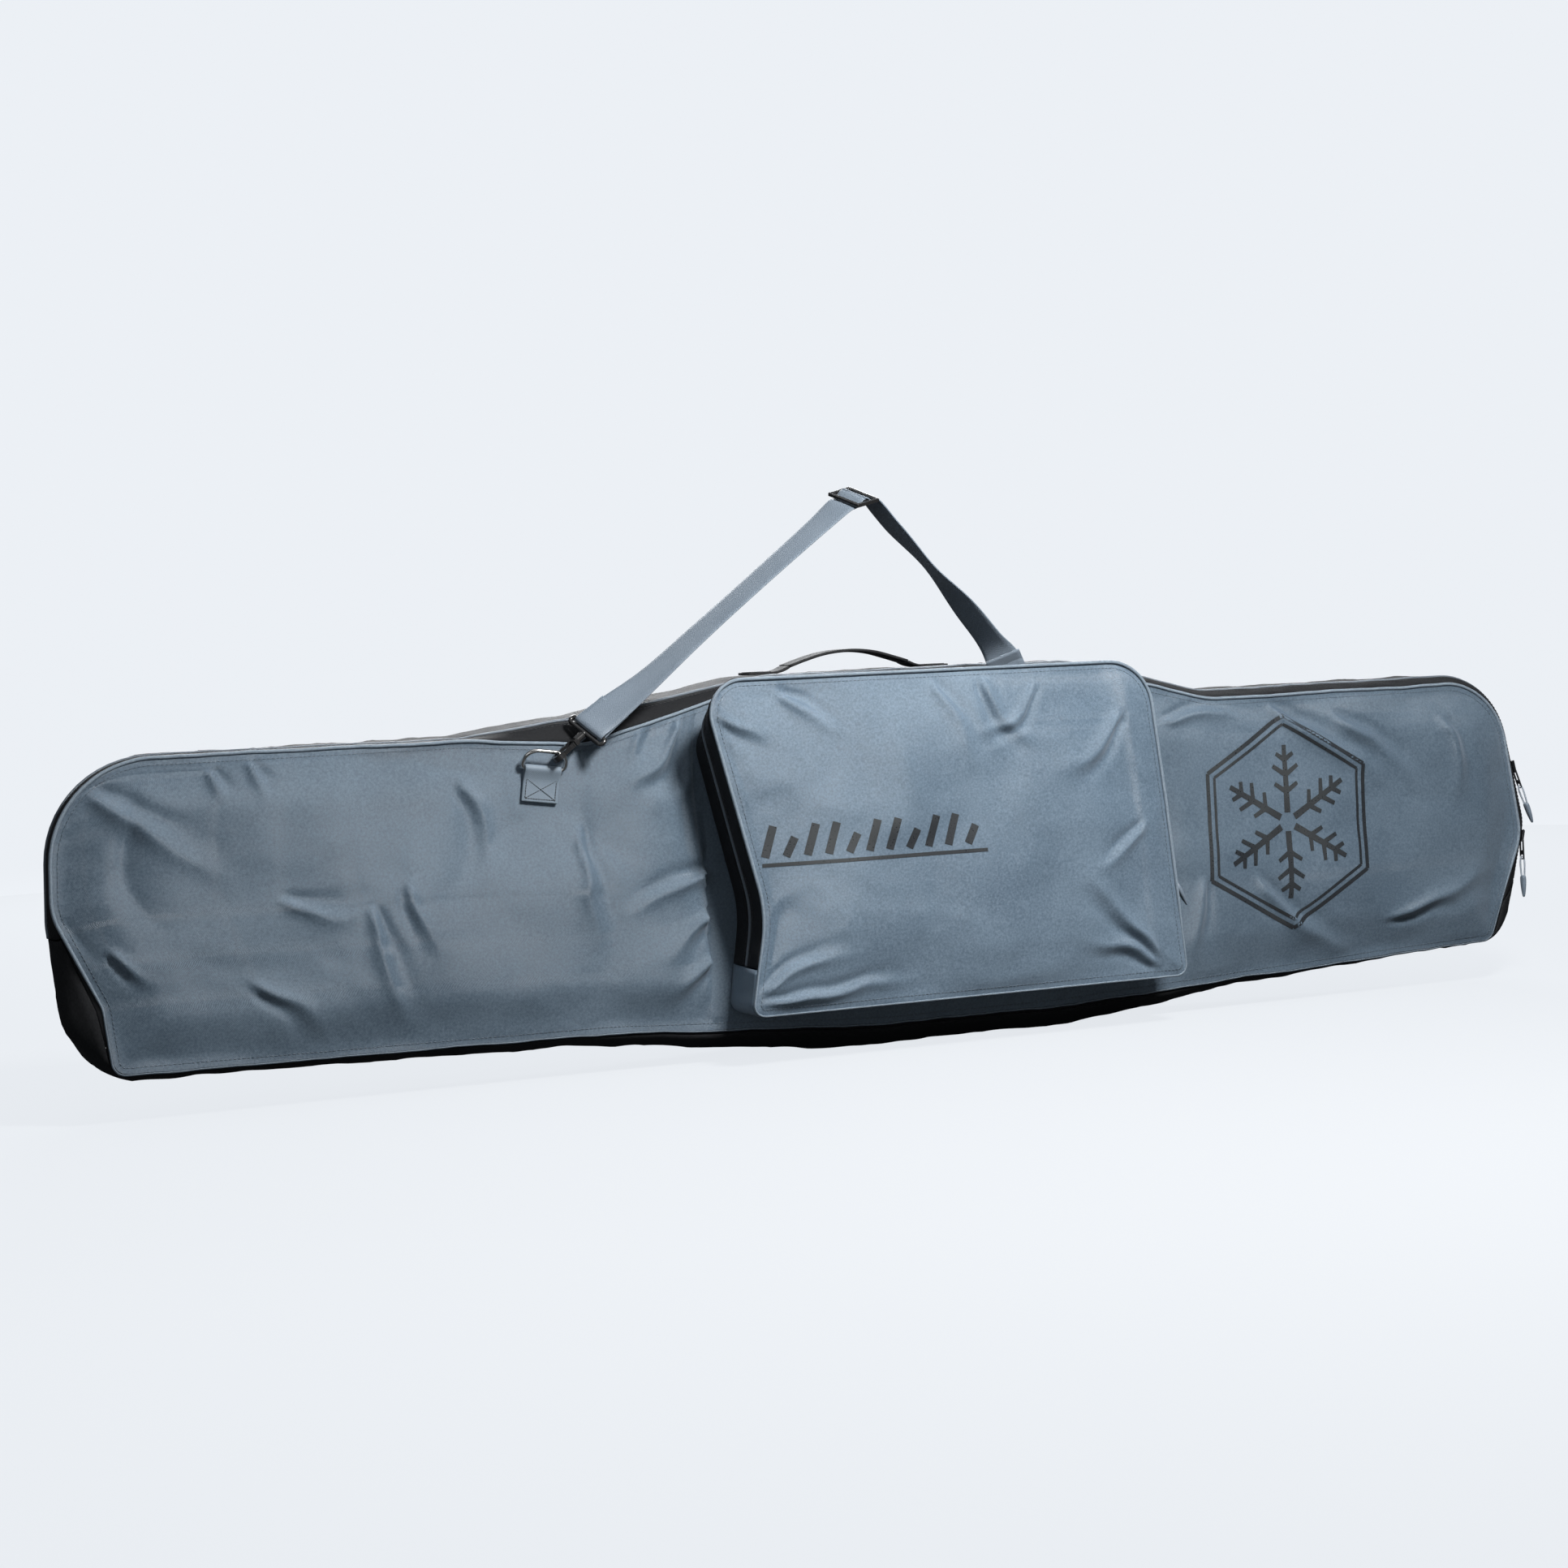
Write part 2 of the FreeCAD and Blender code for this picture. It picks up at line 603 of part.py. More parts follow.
def ring_tab(side):
    """Folded webbing: a sleeve round the ring's bar, and two layers sewn flat on the panel."""
    centre, tilt = RINGS[side]
    name = "dring_tab_" + side
    sleeve_fit = 0.35
    outer = primitive(
        "Part::Cylinder",
        name + "_sleeve",
        {"Radius": "{ring_wire} + {cloth} + 0.35", "Height": "{tab_width}"},
        ("-{tab_width} / 2", 0, 0),
        ALONG_X,
    )
    bore = primitive(
        "Part::Cylinder",
        name + "_bore",
        {"Radius": f"{{ring_wire}} + {sleeve_fit}", "Height": "{tab_width} + 2"},
        ("-{tab_width} / 2 - 1", 0, 0),
        ALONG_X,
    )
    plate = primitive(
        "Part::Box",
        name + "_plate",
        {"Length": "{tab_width}", "Width": "2 * {cloth}", "Height": "{tab_drop}"},
        ("-{tab_width} / 2", "{ring_wire} + 0.35 + {cloth} - 2 * {cloth}", "-{tab_drop} - 1.5"),
    )
    tab = cut(name, fuse(name + "_cloth", [outer, plate]), bore)
    tab.Placement = Placement(centre, Rotation(Vector(0, 1, 0), -math.degrees(tilt)))
    keep(tab, name)


for side in RINGS:
    d_ring(side)
    ring_tab(side)

# ---------------------------------------------------------------- swivel snap hooks
HOOK_BEND = size("hook_bend")
HOOK_GAP = size("hook_half") - size("hook_bar")
WIRE_DROP = HOOK_GAP - size("ring_wire") - 1.15
RING_CONTACT = {"left": Vector(12, -0.9, 16.2), "right": Vector(-9, 0, 17.2)}
HOOK_WAYS = {"left": Vector(0.79, 0.03, 0.60), "right": Vector(-0.50, -0.28, 0.80)}
EYE_WAYS = {"left": Vector(26, -24, -13), "right": Vector(28, -14, 8)}


def hook_frame(side):
    """Placement of a hook: Z up its shank to the swivel, -Y on the gate's side."""
    contact = ring_frame(side).multVec(RING_CONTACT[side])
    way = Vector(HOOK_WAYS[side]).normalize()
    origin = contact + way * (HOOK_BEND + WIRE_DROP)
    flat = Vector(0, 1, 0).cross(way)
    return frame_of(origin, way, flat)


def eye_frame(side):
    """Placement of an eye: the hook's axis, turned on the swivel to the webbing."""
    hook = hook_frame(side)
    way = hook.Rotation.multVec(Vector(0, 0, 1))
    return frame_of(hook.Base, way, EYE_WAYS[side])


def snap_hook(side):
    """Hook body: swivel barrel, shoulder, shank, round bend and tip."""
    name = "hook_body_" + side
    barrel = primitive(
        "Part::Cylinder",
        name + "_barrel",
        {"Radius": "{barrel_radius}", "Height": "{barrel_height}"},
        (0, 0, "-{barrel_height}"),
    )
    bore = primitive(
        "Part::Cylinder",
        name + "_bore",
        {"Radius": "{post_radius} + {swivel_fit}", "Height": "{barrel_height} - 2"},
        (0, 0, "-{barrel_height} + 2"),
    )
    shoulder = primitive(
        "Part::Box",
        name + "_shoulder",
        {"Length": "{hook_thick}", "Width": "2 * {hook_half}", "Height": "4"},
        ("-{hook_thick} / 2", "-{hook_half}", "-{barrel_height} - 3.8"),
    )
    shank = primitive(
        "Part::Box",
        name + "_shank",
        {"Length": "{hook_thick}", "Width": "{hook_bar}", "Height": "{hook_bend} - {barrel_height}"},
        ("-{hook_thick} / 2", "{hook_half} - {hook_bar}", "-{hook_bend}"),
    )
    bend = primitive(
        "Part::Cylinder",
        name + "_bend",
        {"Radius": "{hook_half}", "Height": "{hook_thick}"},
        ("-{hook_thick} / 2", 0, "-{hook_bend}"),
        ALONG_X,
    )
    inner = primitive(
        "Part::Cylinder",
        name + "_inner",
        {"Radius": "{hook_half} - {hook_bar}", "Height": "{hook_thick} + 2"},
        ("-{hook_thick} / 2 - 1", 0, "-{hook_bend}"),
        ALONG_X,
    )
    upper = primitive(
        "Part::Box",
        name + "_upper",
        {"Length": "{hook_thick} + 2", "Width": "2 * {hook_half} + 2", "Height": "{hook_half} + 1"},
        ("-{hook_thick} / 2 - 1", "-{hook_half} - 1", "-{hook_bend}"),
    )
    tip = primitive(
        "Part::Box",
        name + "_tip",
        {"Length": "{hook_thick}", "Width": "{hook_bar}", "Height": "3.8"},
        ("-{hook_thick} / 2", "-{hook_half}", "-{hook_bend} - 0.1"),
    )
    curve = cut(name + "_curve", bend, fuse(name + "_room", [inner, upper]))
    solid = fuse(name + "_solid", [barrel, shoulder, shank, curve, tip])
    body = cut(name, solid, bore)
    body.Placement = hook_frame(side)
    keep(body, name)


def hook_gate(side):
    """Sprung gate between the shoulder and the tip, on a pivot across the hook."""
    name = "hook_gate_" + side
    middle = "-{hook_half} + {hook_bar} / 2"
    knuckle = primitive(
        "Part::Cylinder",
        name + "_knuckle",
        {"Radius": "1.5", "Height": "{gate_thick}"},
        ("-{gate_thick} / 2", middle, "-{gate_pivot}"),
        ALONG_X,
    )
    bar = primitive(
        "Part::Box",
        name + "_bar",
        {"Length": "{gate_thick}", "Width": "2.2", "Height": "{gate_length}"},
        ("-{gate_thick} / 2", middle + " - 1.1", "-{gate_pivot} - {gate_length}"),
    )
    gate = fuse(name, [knuckle, bar])
    gate.Placement = hook_frame(side)
    keep(gate, name)


def eye_outline():
    half = size("eye_half")
    low = size("eye_wire") + 0.5
    return [(-half, low, 3), (half, low, 3), (half, low + size("eye_rise"), 3), (-half, low + size("eye_rise"), 3)]


def hook_eye(side):
    """Rectangular wire eye for the webbing, with the swivel's post under it."""
    edges = loop(eye_outline(), 0).OrderedEdges
    spine = Part.Wire(edges[1:] + edges[:1])
    first = edges[1]
    section = Part.Wire(
        Part.makeCircle(size("eye_wire"), first.valueAt(first.FirstParameter), first.tangentAt(first.FirstParameter))
    )
    ring = spine.makePipeShell([section], True, False)
    depth = size("barrel_height") - 2.4
    post = Part.makeCylinder(size("post_radius"), depth + size("eye_wire"), Vector(0, 0, -depth))
    shape_feature("hook_eye_" + side, ring.fuse(post), eye_frame(side))


for side in RINGS:
    snap_hook(side)
    hook_gate(side)
    hook_eye(side)

# ---------------------------------------------------------------- shoulder strap
WEB = size("webbing")
WIDTH = size("webbing_width")
APEX = Vector(-11, -38, 550)
APEX_ACROSS = Vector(10, -34, -12)
APEX_ALONG = Vector(0.95, 0.20, 0.22)
ADJUSTER = frame_of(APEX, APEX_ALONG.cross(APEX_ACROSS), APEX_ALONG)
STRAP_ROUTES = {
    "left": [
        (Vector(-239, -38, 379), Vector(14, -31, -17)),
        (Vector(-180, -38, 425), Vector(6, -33, -15)),
        (Vector(-112, -38, 477), Vector(6, -33, -14)),
        (Vector(-50, -38, 524), Vector(8, -34, -12)),
    ],
    "right": [
        (Vector(31, -38, 519), Vector(-4, -35, 6)),
        (Vector(69, -40, 478), Vector(-12, -35, 6)),
        (Vector(104, -45, 436), Vector(1, -34, 14)),
        (Vector(131, -50, 399), Vector(16, -27, 13)),
    ],
}


def adjuster_point(along, rise):
    return ADJUSTER.multVec(Vector(along, 0, rise))


def strap_leg(side):
    """Webbing from the fold round an eye's upper bar up to the adjuster and half through it."""
    eye = eye_frame(side)
    top = 2 * size("eye_wire") + 0.5 + size("eye_rise") - size("eye_wire")
    bar = eye.multVec(Vector(0, 0, top))
    way = eye.Rotation.multVec(Vector(0, 0, 1))
    across = eye.Rotation.multVec(Vector(1, 0, 0))
    sleeve_out = size("eye_wire") + 0.1 + WEB
    start = bar + way * (sleeve_out - 0.6)
    doubled_end = bar + way * 16
    stations = [(start, across), (doubled_end, across)]
    route = STRAP_ROUTES[side]
    if side == "left":
        stations += route
        stations += [
            (adjuster_point(-15.5, 3.4), APEX_ACROSS),
            (adjuster_point(-10.4, 3.4), APEX_ACROSS),
            (adjuster_point(-1.7, -3.4), APEX_ACROSS),
            (adjuster_point(-0.2, -3.4), APEX_ACROSS),
        ]
    else:
        stations += route[::-1]
        stations += [
            (adjuster_point(15.5, 3.6), APEX_ACROSS),
            (adjuster_point(10.4, 3.4), APEX_ACROSS),
            (adjuster_point(1.7, -3.4), APEX_ACROSS),
            (adjuster_point(0.2, -3.4), APEX_ACROSS),
        ]
    web = ribbon(stations, WIDTH - 2, WEB)
    sleeve = Part.makeCylinder(sleeve_out, WIDTH - 2, bar - across * (WIDTH / 2 - 1), across)
    room = Part.makeCylinder(size("eye_wire") + 0.1, WIDTH, bar - across * (WIDTH / 2), across)
    shape_feature("strap_webbing_" + side, web.fuse(sleeve).cut(room))


for side in STRAP_ROUTES:
    strap_leg(side)


def adjuster():
    """Tri-glide: a rectangular frame with a middle bar that the webbing goes over."""
    name = "strap_adjuster"
    plate = primitive(
        "Part::Box",
        name + "_plate",
        {"Length": "28", "Width": "{webbing_width} + 8", "Height": "3.4"},
        ("-14", "-{webbing_width} / 2 - 4", "-1.7"),
    )
    slots = [
        primitive(
            "Part::Box",
            f"{name}_slot_{place}",
            {"Length": "8", "Width": "{webbing_width} + 0.8", "Height": "6"},
            (middle - 4, "-{webbing_width} / 2 - 0.4", "-3"),
        )
        for place, middle in (("left", -6), ("right", 6))
    ]
    body = cut(name, plate, fuse(name + "_slots", slots))
    body.Placement = ADJUSTER
    keep(body, name)


adjuster()


# ---------------------------------------------------------------- zip sliders and pulls
def zip_frame(section, y, index, share):
    """On a straight side of a zip's outline: Z along the zip, X out of the cloth, Y along +Y."""
    corners = section(y)
    first = corner_arc(corners, index)[2]
    last = corner_arc(corners, (index + 1) % len(corners))[0]
    start = Vector(first[0], y, first[1])
    end = Vector(last[0], y, last[1])
    way = (end - start).normalize()
    return frame_of(start + (end - start) * share, way, Vector(1, 0, 0))


SLIDERS = {
    "main_slider_upper": (zip_frame(bag_section, ZIP_Y, 6, 0.55), 8),
    "main_slider_lower": (zip_frame(bag_section, ZIP_Y, 5, 0.90), 13),
    "pocket_slider": (zip_frame(pocket_section, POCKET_ZIP_Y, 0, 0.78), 22),
}
SLIDER_LIFT = size("coil_rise") + 1.1
PLATE = size("slider_plate")
BRIDGE_RISE = size("bridge_rise")
PIVOT_DROP = -5.0
PIVOT_OUT = SLIDER_LIFT + PLATE + 1.25
END_HALF = 3.4


def slider(name, frame):
    """Slider's outer plate with the bridge that holds the pull."""
    plate = primitive(
        "Part::Box",
        name + "_plate",
        {"Length": "{slider_plate}", "Width": "{slider_width}", "Height": "{slider_length}"},
        (SLIDER_LIFT, "-{slider_width} / 2", "-{slider_length} / 2"),
    )
    bridge = primitive(
        "Part::Box",
        name + "_bridge",
        {"Length": "{bridge_rise} + 0.2", "Width": "2", "Height": "{slider_length} - 1"},
        (SLIDER_LIFT + PLATE - 0.2, "-1", "-{slider_length} / 2 + 0.2"),
    )
    window = primitive(
        "Part::Box",
        name + "_window",
        {"Length": "{bridge_rise} - 1", "Width": "4", "Height": "{slider_length} - 5"},
        (SLIDER_LIFT + PLATE, "-2", "-{slider_length} / 2 + 1"),
    )
    chamfered = doc.addObject("Part::Chamfer", name + "_rounded_plate")
    chamfered.Base = plate
    doc.recompute()
    chamfered.Edges = [(number, 0.5, 0.5) for number in range(1, len(plate.Shape.Edges) + 1)]
    body = fuse(name, [chamfered, cut(name + "_loop", bridge, window)])
    body.Placement = frame
    keep(body, name)


def pull_frame(frame, tilt):
    """Placement of a pull: origin on its pivot, Z down along the pull, X outward."""
    pivot = frame.multVec(Vector(PIVOT_OUT, 0, PIVOT_DROP))
    way = frame.Rotation.multVec(Vector(math.sin(math.radians(tilt)), 0, -math.cos(math.radians(tilt))))
    out = frame.Rotation.multVec(Vector(1, 0, 0))
    return frame_of(pivot, way, out)


def pull_tab(name, frame):
    """Metal tab of a pull: hooked under the bridge, with a hole for the cord."""
    body = doc.addObject("PartDesign::Body", name)
    plane = next(item for item in body.Origin.OriginFeatures if item.Role == "YZ_Plane")
    sketch = body.newObject("Sketcher::SketchObject", name + "_outline")
    sketch.AttachmentSupport = (plane, "")
    sketch.MapMode = "FlatFace"
    half = 3.6
    low = -0.6
    end = size("pull_tab_length")
    crest = end - half
    sketch.addGeometry(Part.LineSegment(Vector(half, low, 0), Vector(half, crest, 0)), False)
    sketch.addGeometry(Part.Arc(Vector(half, crest, 0), Vector(0, end, 0), Vector(-half, crest, 0)), False)
    sketch.addGeometry(Part.LineSegment(Vector(-half, crest, 0), Vector(-half, low, 0)), False)
    sketch.addGeometry(Part.LineSegment(Vector(-half, low, 0), Vector(half, low, 0)), False)
    slot = [(1.6, 0.6), (1.6, 11.5), (-1.6, 11.5), (-1.6, 0.6)]
    for index, corner in enumerate(slot):
        after = slot[(index + 1) % len(slot)]
        sketch.addGeometry(Part.LineSegment(Vector(*corner, 0), Vector(*after, 0)), False)
    hole = Part.Circle(Vector(0, crest, 0), Vector(0, 0, 1), 2.2)
    sketch.addGeometry(hole, False)
    pad = body.newObject("PartDesign::Pad", name + "_pad")
    pad.Profile = sketch
    pad.setExpression("Length", cell("{tab_plate}"))
    pad.Midplane = True
    body.Placement = frame
    keep(body, name)


# Half of a pull cord's route, from the tab's hole down to its fold inside the moulded end:
# (out of the cloth, across, down from the hole's centre).
CORD_HALF = [
    (1.05, 0.0, -0.3),
    (2.3, 0.5, 2.5),
    (1.7, 1.6, 8.6),
    (0.7, 2.3, 16.0),
    (0.2, 2.1, 24.0),
    (0.0, 2.3, 30.0),
    (0.0, 2.3, 34.5),
]
CORD_ROUTE = CORD_HALF + [(-out, -across, down) for out, across, down in reversed(CORD_HALF)]


def pull_cord(name, frame):
    """Pull cord: one loop from the tab's hole, folded in the moulded end, and back."""
    hole = size("pull_tab_length") - 3.6
    points = [Vector(out, across, hole + down) for out, across, down in CORD_ROUTE]
    path, radii = tube_path(points)
    cord = tube(path, size("cord_radius"))
    expected = math.pi * size("cord_radius") ** 2 * path.Length
    print(name, "length", round(path.Length, 1), "radii", [round(radius, 1) for radius in radii])
    print(name, "volume", round(cord.Volume, 1), "section times length", round(expected, 1))
    shape_feature(name, cord, frame)


def pull_end(name, frame):
    """Moulded end of a pull: a flat tapered grip that holds both strands."""
    start = size("pull_tab_length") - 3.6 + 22
    levels = [(0, 2.3, END_HALF + 0.3), (3, 2.5, END_HALF + 0.5), (13, 2.2, END_HALF), (size("end_length"), 1.2, 1.6)]
    wires = []
    for down, half_out, half_across in levels:
        corners = [
            Vector(half_out * u, half_across * v, start + down)
            for u, v in ((1, 0.5), (0.5, 1), (-0.5, 1), (-1, 0.5), (-1, -0.5), (-0.5, -1), (0.5, -1), (1, -0.5))
        ]
        wires.append(Part.makePolygon(corners + corners[:1]))
    shape_feature(name, Part.makeLoft(wires, True, True), frame)


for name, (frame, tilt) in SLIDERS.items():
    slider(name, frame)
    hanging = pull_frame(frame, tilt)
    pull_tab(name + "_tab", hanging)
    pull_cord(name + "_cord", hanging)
    pull_end(name + "_end", hanging)

# ---------------------------------------------------------------- checks and export
doc.recompute()
for item in doc.Objects:
    if "Invalid" in item.State or "Error" in item.State:
        raise RuntimeError(f"{item.Name} failed: {item.State}")
for item in SUBPARTS:
    shape = item.Shape
    if shape.isNull() or not shape.isValid() or shape.Volume <= 0:
        raise RuntimeError(f"{item.Label} has a bad shape")
for item in SUBPARTS:
    item.Shape.exportStep(f"parts/{item.Label}.step")
print(len(SUBPARTS), "sub-parts")
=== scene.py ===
import math

import bpy
import numpy as np
from mathutils import Matrix, Vector
from mathutils.bvhtree import BVHTree


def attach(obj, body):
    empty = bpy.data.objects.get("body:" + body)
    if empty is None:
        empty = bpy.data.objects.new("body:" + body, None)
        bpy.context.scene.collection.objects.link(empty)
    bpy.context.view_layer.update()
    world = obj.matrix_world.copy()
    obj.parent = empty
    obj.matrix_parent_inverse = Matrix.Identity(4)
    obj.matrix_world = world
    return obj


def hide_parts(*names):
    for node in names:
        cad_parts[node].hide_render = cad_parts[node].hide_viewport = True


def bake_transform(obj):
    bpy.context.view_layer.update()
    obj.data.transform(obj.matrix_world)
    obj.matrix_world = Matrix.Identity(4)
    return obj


# Snowboard bag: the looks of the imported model. Outlines and routes are in millimetres, as in the design,
# and every mesh is made in metres. +X along the bag, -Y out of its front, +Z up.
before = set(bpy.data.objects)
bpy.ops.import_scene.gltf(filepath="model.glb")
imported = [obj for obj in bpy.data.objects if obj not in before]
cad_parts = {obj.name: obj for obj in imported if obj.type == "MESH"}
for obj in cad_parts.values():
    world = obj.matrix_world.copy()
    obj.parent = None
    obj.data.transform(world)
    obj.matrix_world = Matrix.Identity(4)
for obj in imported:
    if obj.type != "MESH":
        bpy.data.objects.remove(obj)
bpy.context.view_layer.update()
MM = 0.001
TAU = 2 * math.pi


# ---------------------------------------------------------------- outlines
HALF = 815
TOP = 331
LOW = 46
FRONT = [
    (-HALF + 51, LOW, 14),
    (-290, LOW - 6, 600),
    (0, 22, 600),
    (210, 22, 600),
    (420, LOW - 14, 600),
    (HALF - 60, LOW, 16),
    (HALF - 15, 162, 60),
    (HALF - 44, TOP + 3, 80),
    (400, TOP + 1, 120),
    (240, 370, 110),
    (-120, 370, 120),
    (-300, TOP - 10, 60),
    (-420, TOP, 120),
    (-HALF + 7, TOP, 95),
    (-HALF + 3, 195, 60),
    (-HALF + 44, 108, 30),
]
GUSSET = [
    (-HALF + 47, LOW - 6, 55),
    (-290, LOW - 18, 600),
    (-40, 0, 600),
    (240, 0, 600),
    (420, LOW - 22, 600),
    (HALF - 25, LOW, 50),
    (HALF + 3, 178, 45),
    (HALF - 35, TOP + 10, 85),
    (400, TOP + 9, 120),
    (240, 378, 110),
    (-100, 378, 120),
    (-290, TOP + 16, 200),
    (-420, TOP + 1, 150),
    (-HALF + 8, TOP, 95),
    (-HALF + 3, 185, 70),
    (-HALF + 11, 95, 60),
]
BACK_TAPER = {0: 6, 13: 38, 14: 34, 15: 14}
POCKET_FRONT = [
    (322, 50, 12),
    (303, 230, 100),
    (285, 377, 52),
    (-208, 377, 34),
    (-150, 150, 120),
    (-168, 50, 12),
]
POCKET_REAR = [
    (318, 50, 12),
    (300, 200, 60),
    (288, 230, 34),
    (-198, 350, 30),
    (-150, 150, 120),
    (-165, 50, 12),
]
FRONT_Y = -28
ROUND_Y = -2
BACK_ROUND_Y = 76
BACK_Y = 100
POCKET_Y = -92
ZIP_Y = -7
POCKET_ZIP_Y = -62
ZIP_LEFT = (14, 0.10)
ZIP_RIGHT = (5, 0.35)
POCKET_ZIP_RIGHT = (0, 0.22)
POCKET_ZIP_LEFT = (4, 0.45)
END_GAP = 0.02


def normalised(vectors):
    """The same vectors at unit length."""
    return vectors / np.maximum(np.linalg.norm(vectors, axis=-1, keepdims=True), 1e-9)


def left_of(way):
    return np.array([-way[1], way[0]])


def corner_ways(corners, index):
    """A corner's (x, z, radius), the unit way into it and the angle that it turns by."""
    x, z, radius = corners[index]
    before, after = corners[index - 1], corners[(index + 1) % len(corners)]
    reach, following = math.hypot(x - before[0], z - before[1]), math.hypot(after[0] - x, after[1] - z)
    ux, uz = (x - before[0]) / reach, (z - before[1]) / reach
    vx, vz = (after[0] - x) / following, (after[1] - z) / following
    return x, z, radius, ux, uz, math.atan2(ux * vz - uz * vx, ux * vx + uz * vz)


def inset(corners, distance):
    """The outline moved inward by a distance; its rounded corners keep their centres."""
    moved = []
    for index in range(len(corners)):
        x, z, radius, ux, uz, turn = corner_ways(corners, index)
        half = math.tan(turn / 2)
        radius = max(radius - math.copysign(distance, turn), 1.0)
        moved.append((x + (-uz - ux * half) * distance, z + (ux - uz * half) * distance, radius))
    return moved


def corner_arc(corners, index, count=14):
    """Points (x, z) along the arc that rounds one corner."""
    x, z, radius, ux, uz, turn = corner_ways(corners, index % len(corners))
    tangent = radius * math.tan(abs(turn) / 2)
    side = math.copysign(1, turn)
    centre_x = x - ux * tangent - uz * side * radius
    centre_z = z - uz * tangent + ux * side * radius
    start = math.atan2(z - uz * tangent - centre_z, x - ux * tangent - centre_x)
    angles = start + np.linspace(0, turn, count)
    return np.stack([centre_x + radius * np.cos(angles), centre_z + radius * np.sin(angles)], axis=1)


def place(corners, where):
    """A point on the straight side after a corner, given as (corner, share of the side)."""
    index, share = where
    first, last = corner_arc(corners, index)[-1], corner_arc(corners, index + 1)[0]
    return first + (last - first) * share


def walk(corners, start, end):
    """The outline as dense points from one place to another, anticlockwise."""
    count = (end[0] - start[0] - 1) % len(corners) + 1
    arcs = [corner_arc(corners, start[0] + step) for step in range(1, count + 1)]
    return np.concatenate([place(corners, start)[None], *arcs, place(corners, end)[None]])


def ring(corners):
    """The whole outline as dense points, closed."""
    points = np.concatenate([corner_arc(corners, index) for index in range(len(corners))])
    return np.concatenate([points, points[:1]])


def travel_of(points):
    """Distance along a line from its first point to each; columns past the third don't count."""
    return np.concatenate([[0], np.cumsum(np.linalg.norm(np.diff(points[:, :3], axis=0), axis=1))])


def line_length(points):
    return float(travel_of(points)[-1])


def even(points, count):
    """The same line as evenly spaced points."""
    travel = travel_of(points)
    wanted = np.linspace(0, travel[-1], count)
    return np.stack([np.interp(wanted, travel, column) for column in points.T], axis=1)


def lerp(start, end, share):
    return [tuple(a + (b - a) * share for a, b in zip(p, q)) for p, q in zip(start, end)]


def bag_section(y):
    """Outline of the bag at one depth: rounded front edge, tapered gusset, drawn-in back."""
    if y < ROUND_Y:
        share = (y - FRONT_Y) / (ROUND_Y - FRONT_Y)
        return lerp(FRONT, GUSSET, share * (2 - share))
    taper = (y - ROUND_Y) / (BACK_Y - ROUND_Y)
    corners = []
    for index, (x, z, radius) in enumerate(GUSSET):
        corners.append((x + BACK_TAPER.get(index, 0) * taper, z, radius))
    if y > BACK_ROUND_Y:
        share = (y - BACK_ROUND_Y) / (BACK_Y - BACK_ROUND_Y)
        return inset(corners, 14 * share**2)
    return corners


def pocket_section(y):
    """Outline of the pocket at one depth, from the front panel to its front edge."""
    share = min((y - FRONT_Y) / (POCKET_Y - FRONT_Y), 1.0)
    return lerp(POCKET_REAR, POCKET_FRONT, share)


# ---------------------------------------------------------------- camera and light
YAW = math.radians(24)
PITCH = math.radians(2.67)
ROLL = math.radians(2.5)
LENS = 65.9
CAMERA_PLACE = (-1.245, -2.610, 0.402)
STUDIO_COLOUR = (0.838, 0.871, 0.914)
forward = Vector((math.sin(YAW) * math.cos(PITCH), math.cos(YAW) * math.cos(PITCH), -math.sin(PITCH)))
level = Vector((math.cos(YAW), -math.sin(YAW), 0))
upright = level.cross(forward)
camera_x = level * math.cos(ROLL) - upright * math.sin(ROLL)
camera_y = level * math.sin(ROLL) + upright * math.cos(ROLL)
camera_data = bpy.data.cameras.new("camera")
camera_data.lens = LENS
camera_data.sensor_width = 36
camera = bpy.data.objects.new("camera", camera_data)
turned = Matrix((camera_x, camera_y, -forward)).transposed().to_4x4()
camera.matrix_world = Matrix.Translation(CAMERA_PLACE) @ turned
bpy.context.scene.collection.objects.link(camera)
bpy.context.scene.camera = camera


def area_light(name, location, target, size, watts, colour):
    data = bpy.data.lights.new(name, "AREA")
    data.shape = "RECTANGLE"
    data.size, data.size_y = size
    data.energy = watts
    data.color = colour
    light = bpy.data.objects.new(name, data)
    light.location = location
    way = Vector(target) - Vector(location)
    light.rotation_mode = "QUATERNION"
    light.rotation_quaternion = way.to_track_quat("-Z", "Y")
    light.visible_camera = False
    bpy.context.scene.collection.objects.link(light)
    return light


area_light("key", (0.12, -1.12, 1.28), (0.05, 0, 0.2), (0.34, 0.3), 45, (1.0, 0.985, 0.96))
area_light("fill", (-2.6, -1.9, 1.2), (-0.2, 0, 0.2), (1.6, 1.6), 10, (0.93, 0.965, 1.0))
area_light("back", (0.9, 2.7, 1.5), (0, 0, 0.2), (2.2, 0.8), 95, (0.97, 0.985, 1.0))
bounce = area_light("bounce", (0.0, -1.3, 0.03), (0.0, 0, 0.12), (2.0, 0.5), 2.6, (0.96, 0.98, 1.0))
area_light("top", (-0.5, -0.3, 3.0), (0, 0, 0.2), (2.6, 1.2), 9, (0.98, 0.99, 1.0))

scene = bpy.context.scene
scene.view_settings.view_transform = "Standard"
scene.view_settings.look = "None"
world = bpy.data.worlds.new("studio")
world.use_nodes = True
world.node_tree.nodes["Background"].inputs["Color"].default_value = (*STUDIO_COLOUR, 1)
world.node_tree.nodes["Background"].inputs["Strength"].default_value = 0.27
scene.world = world


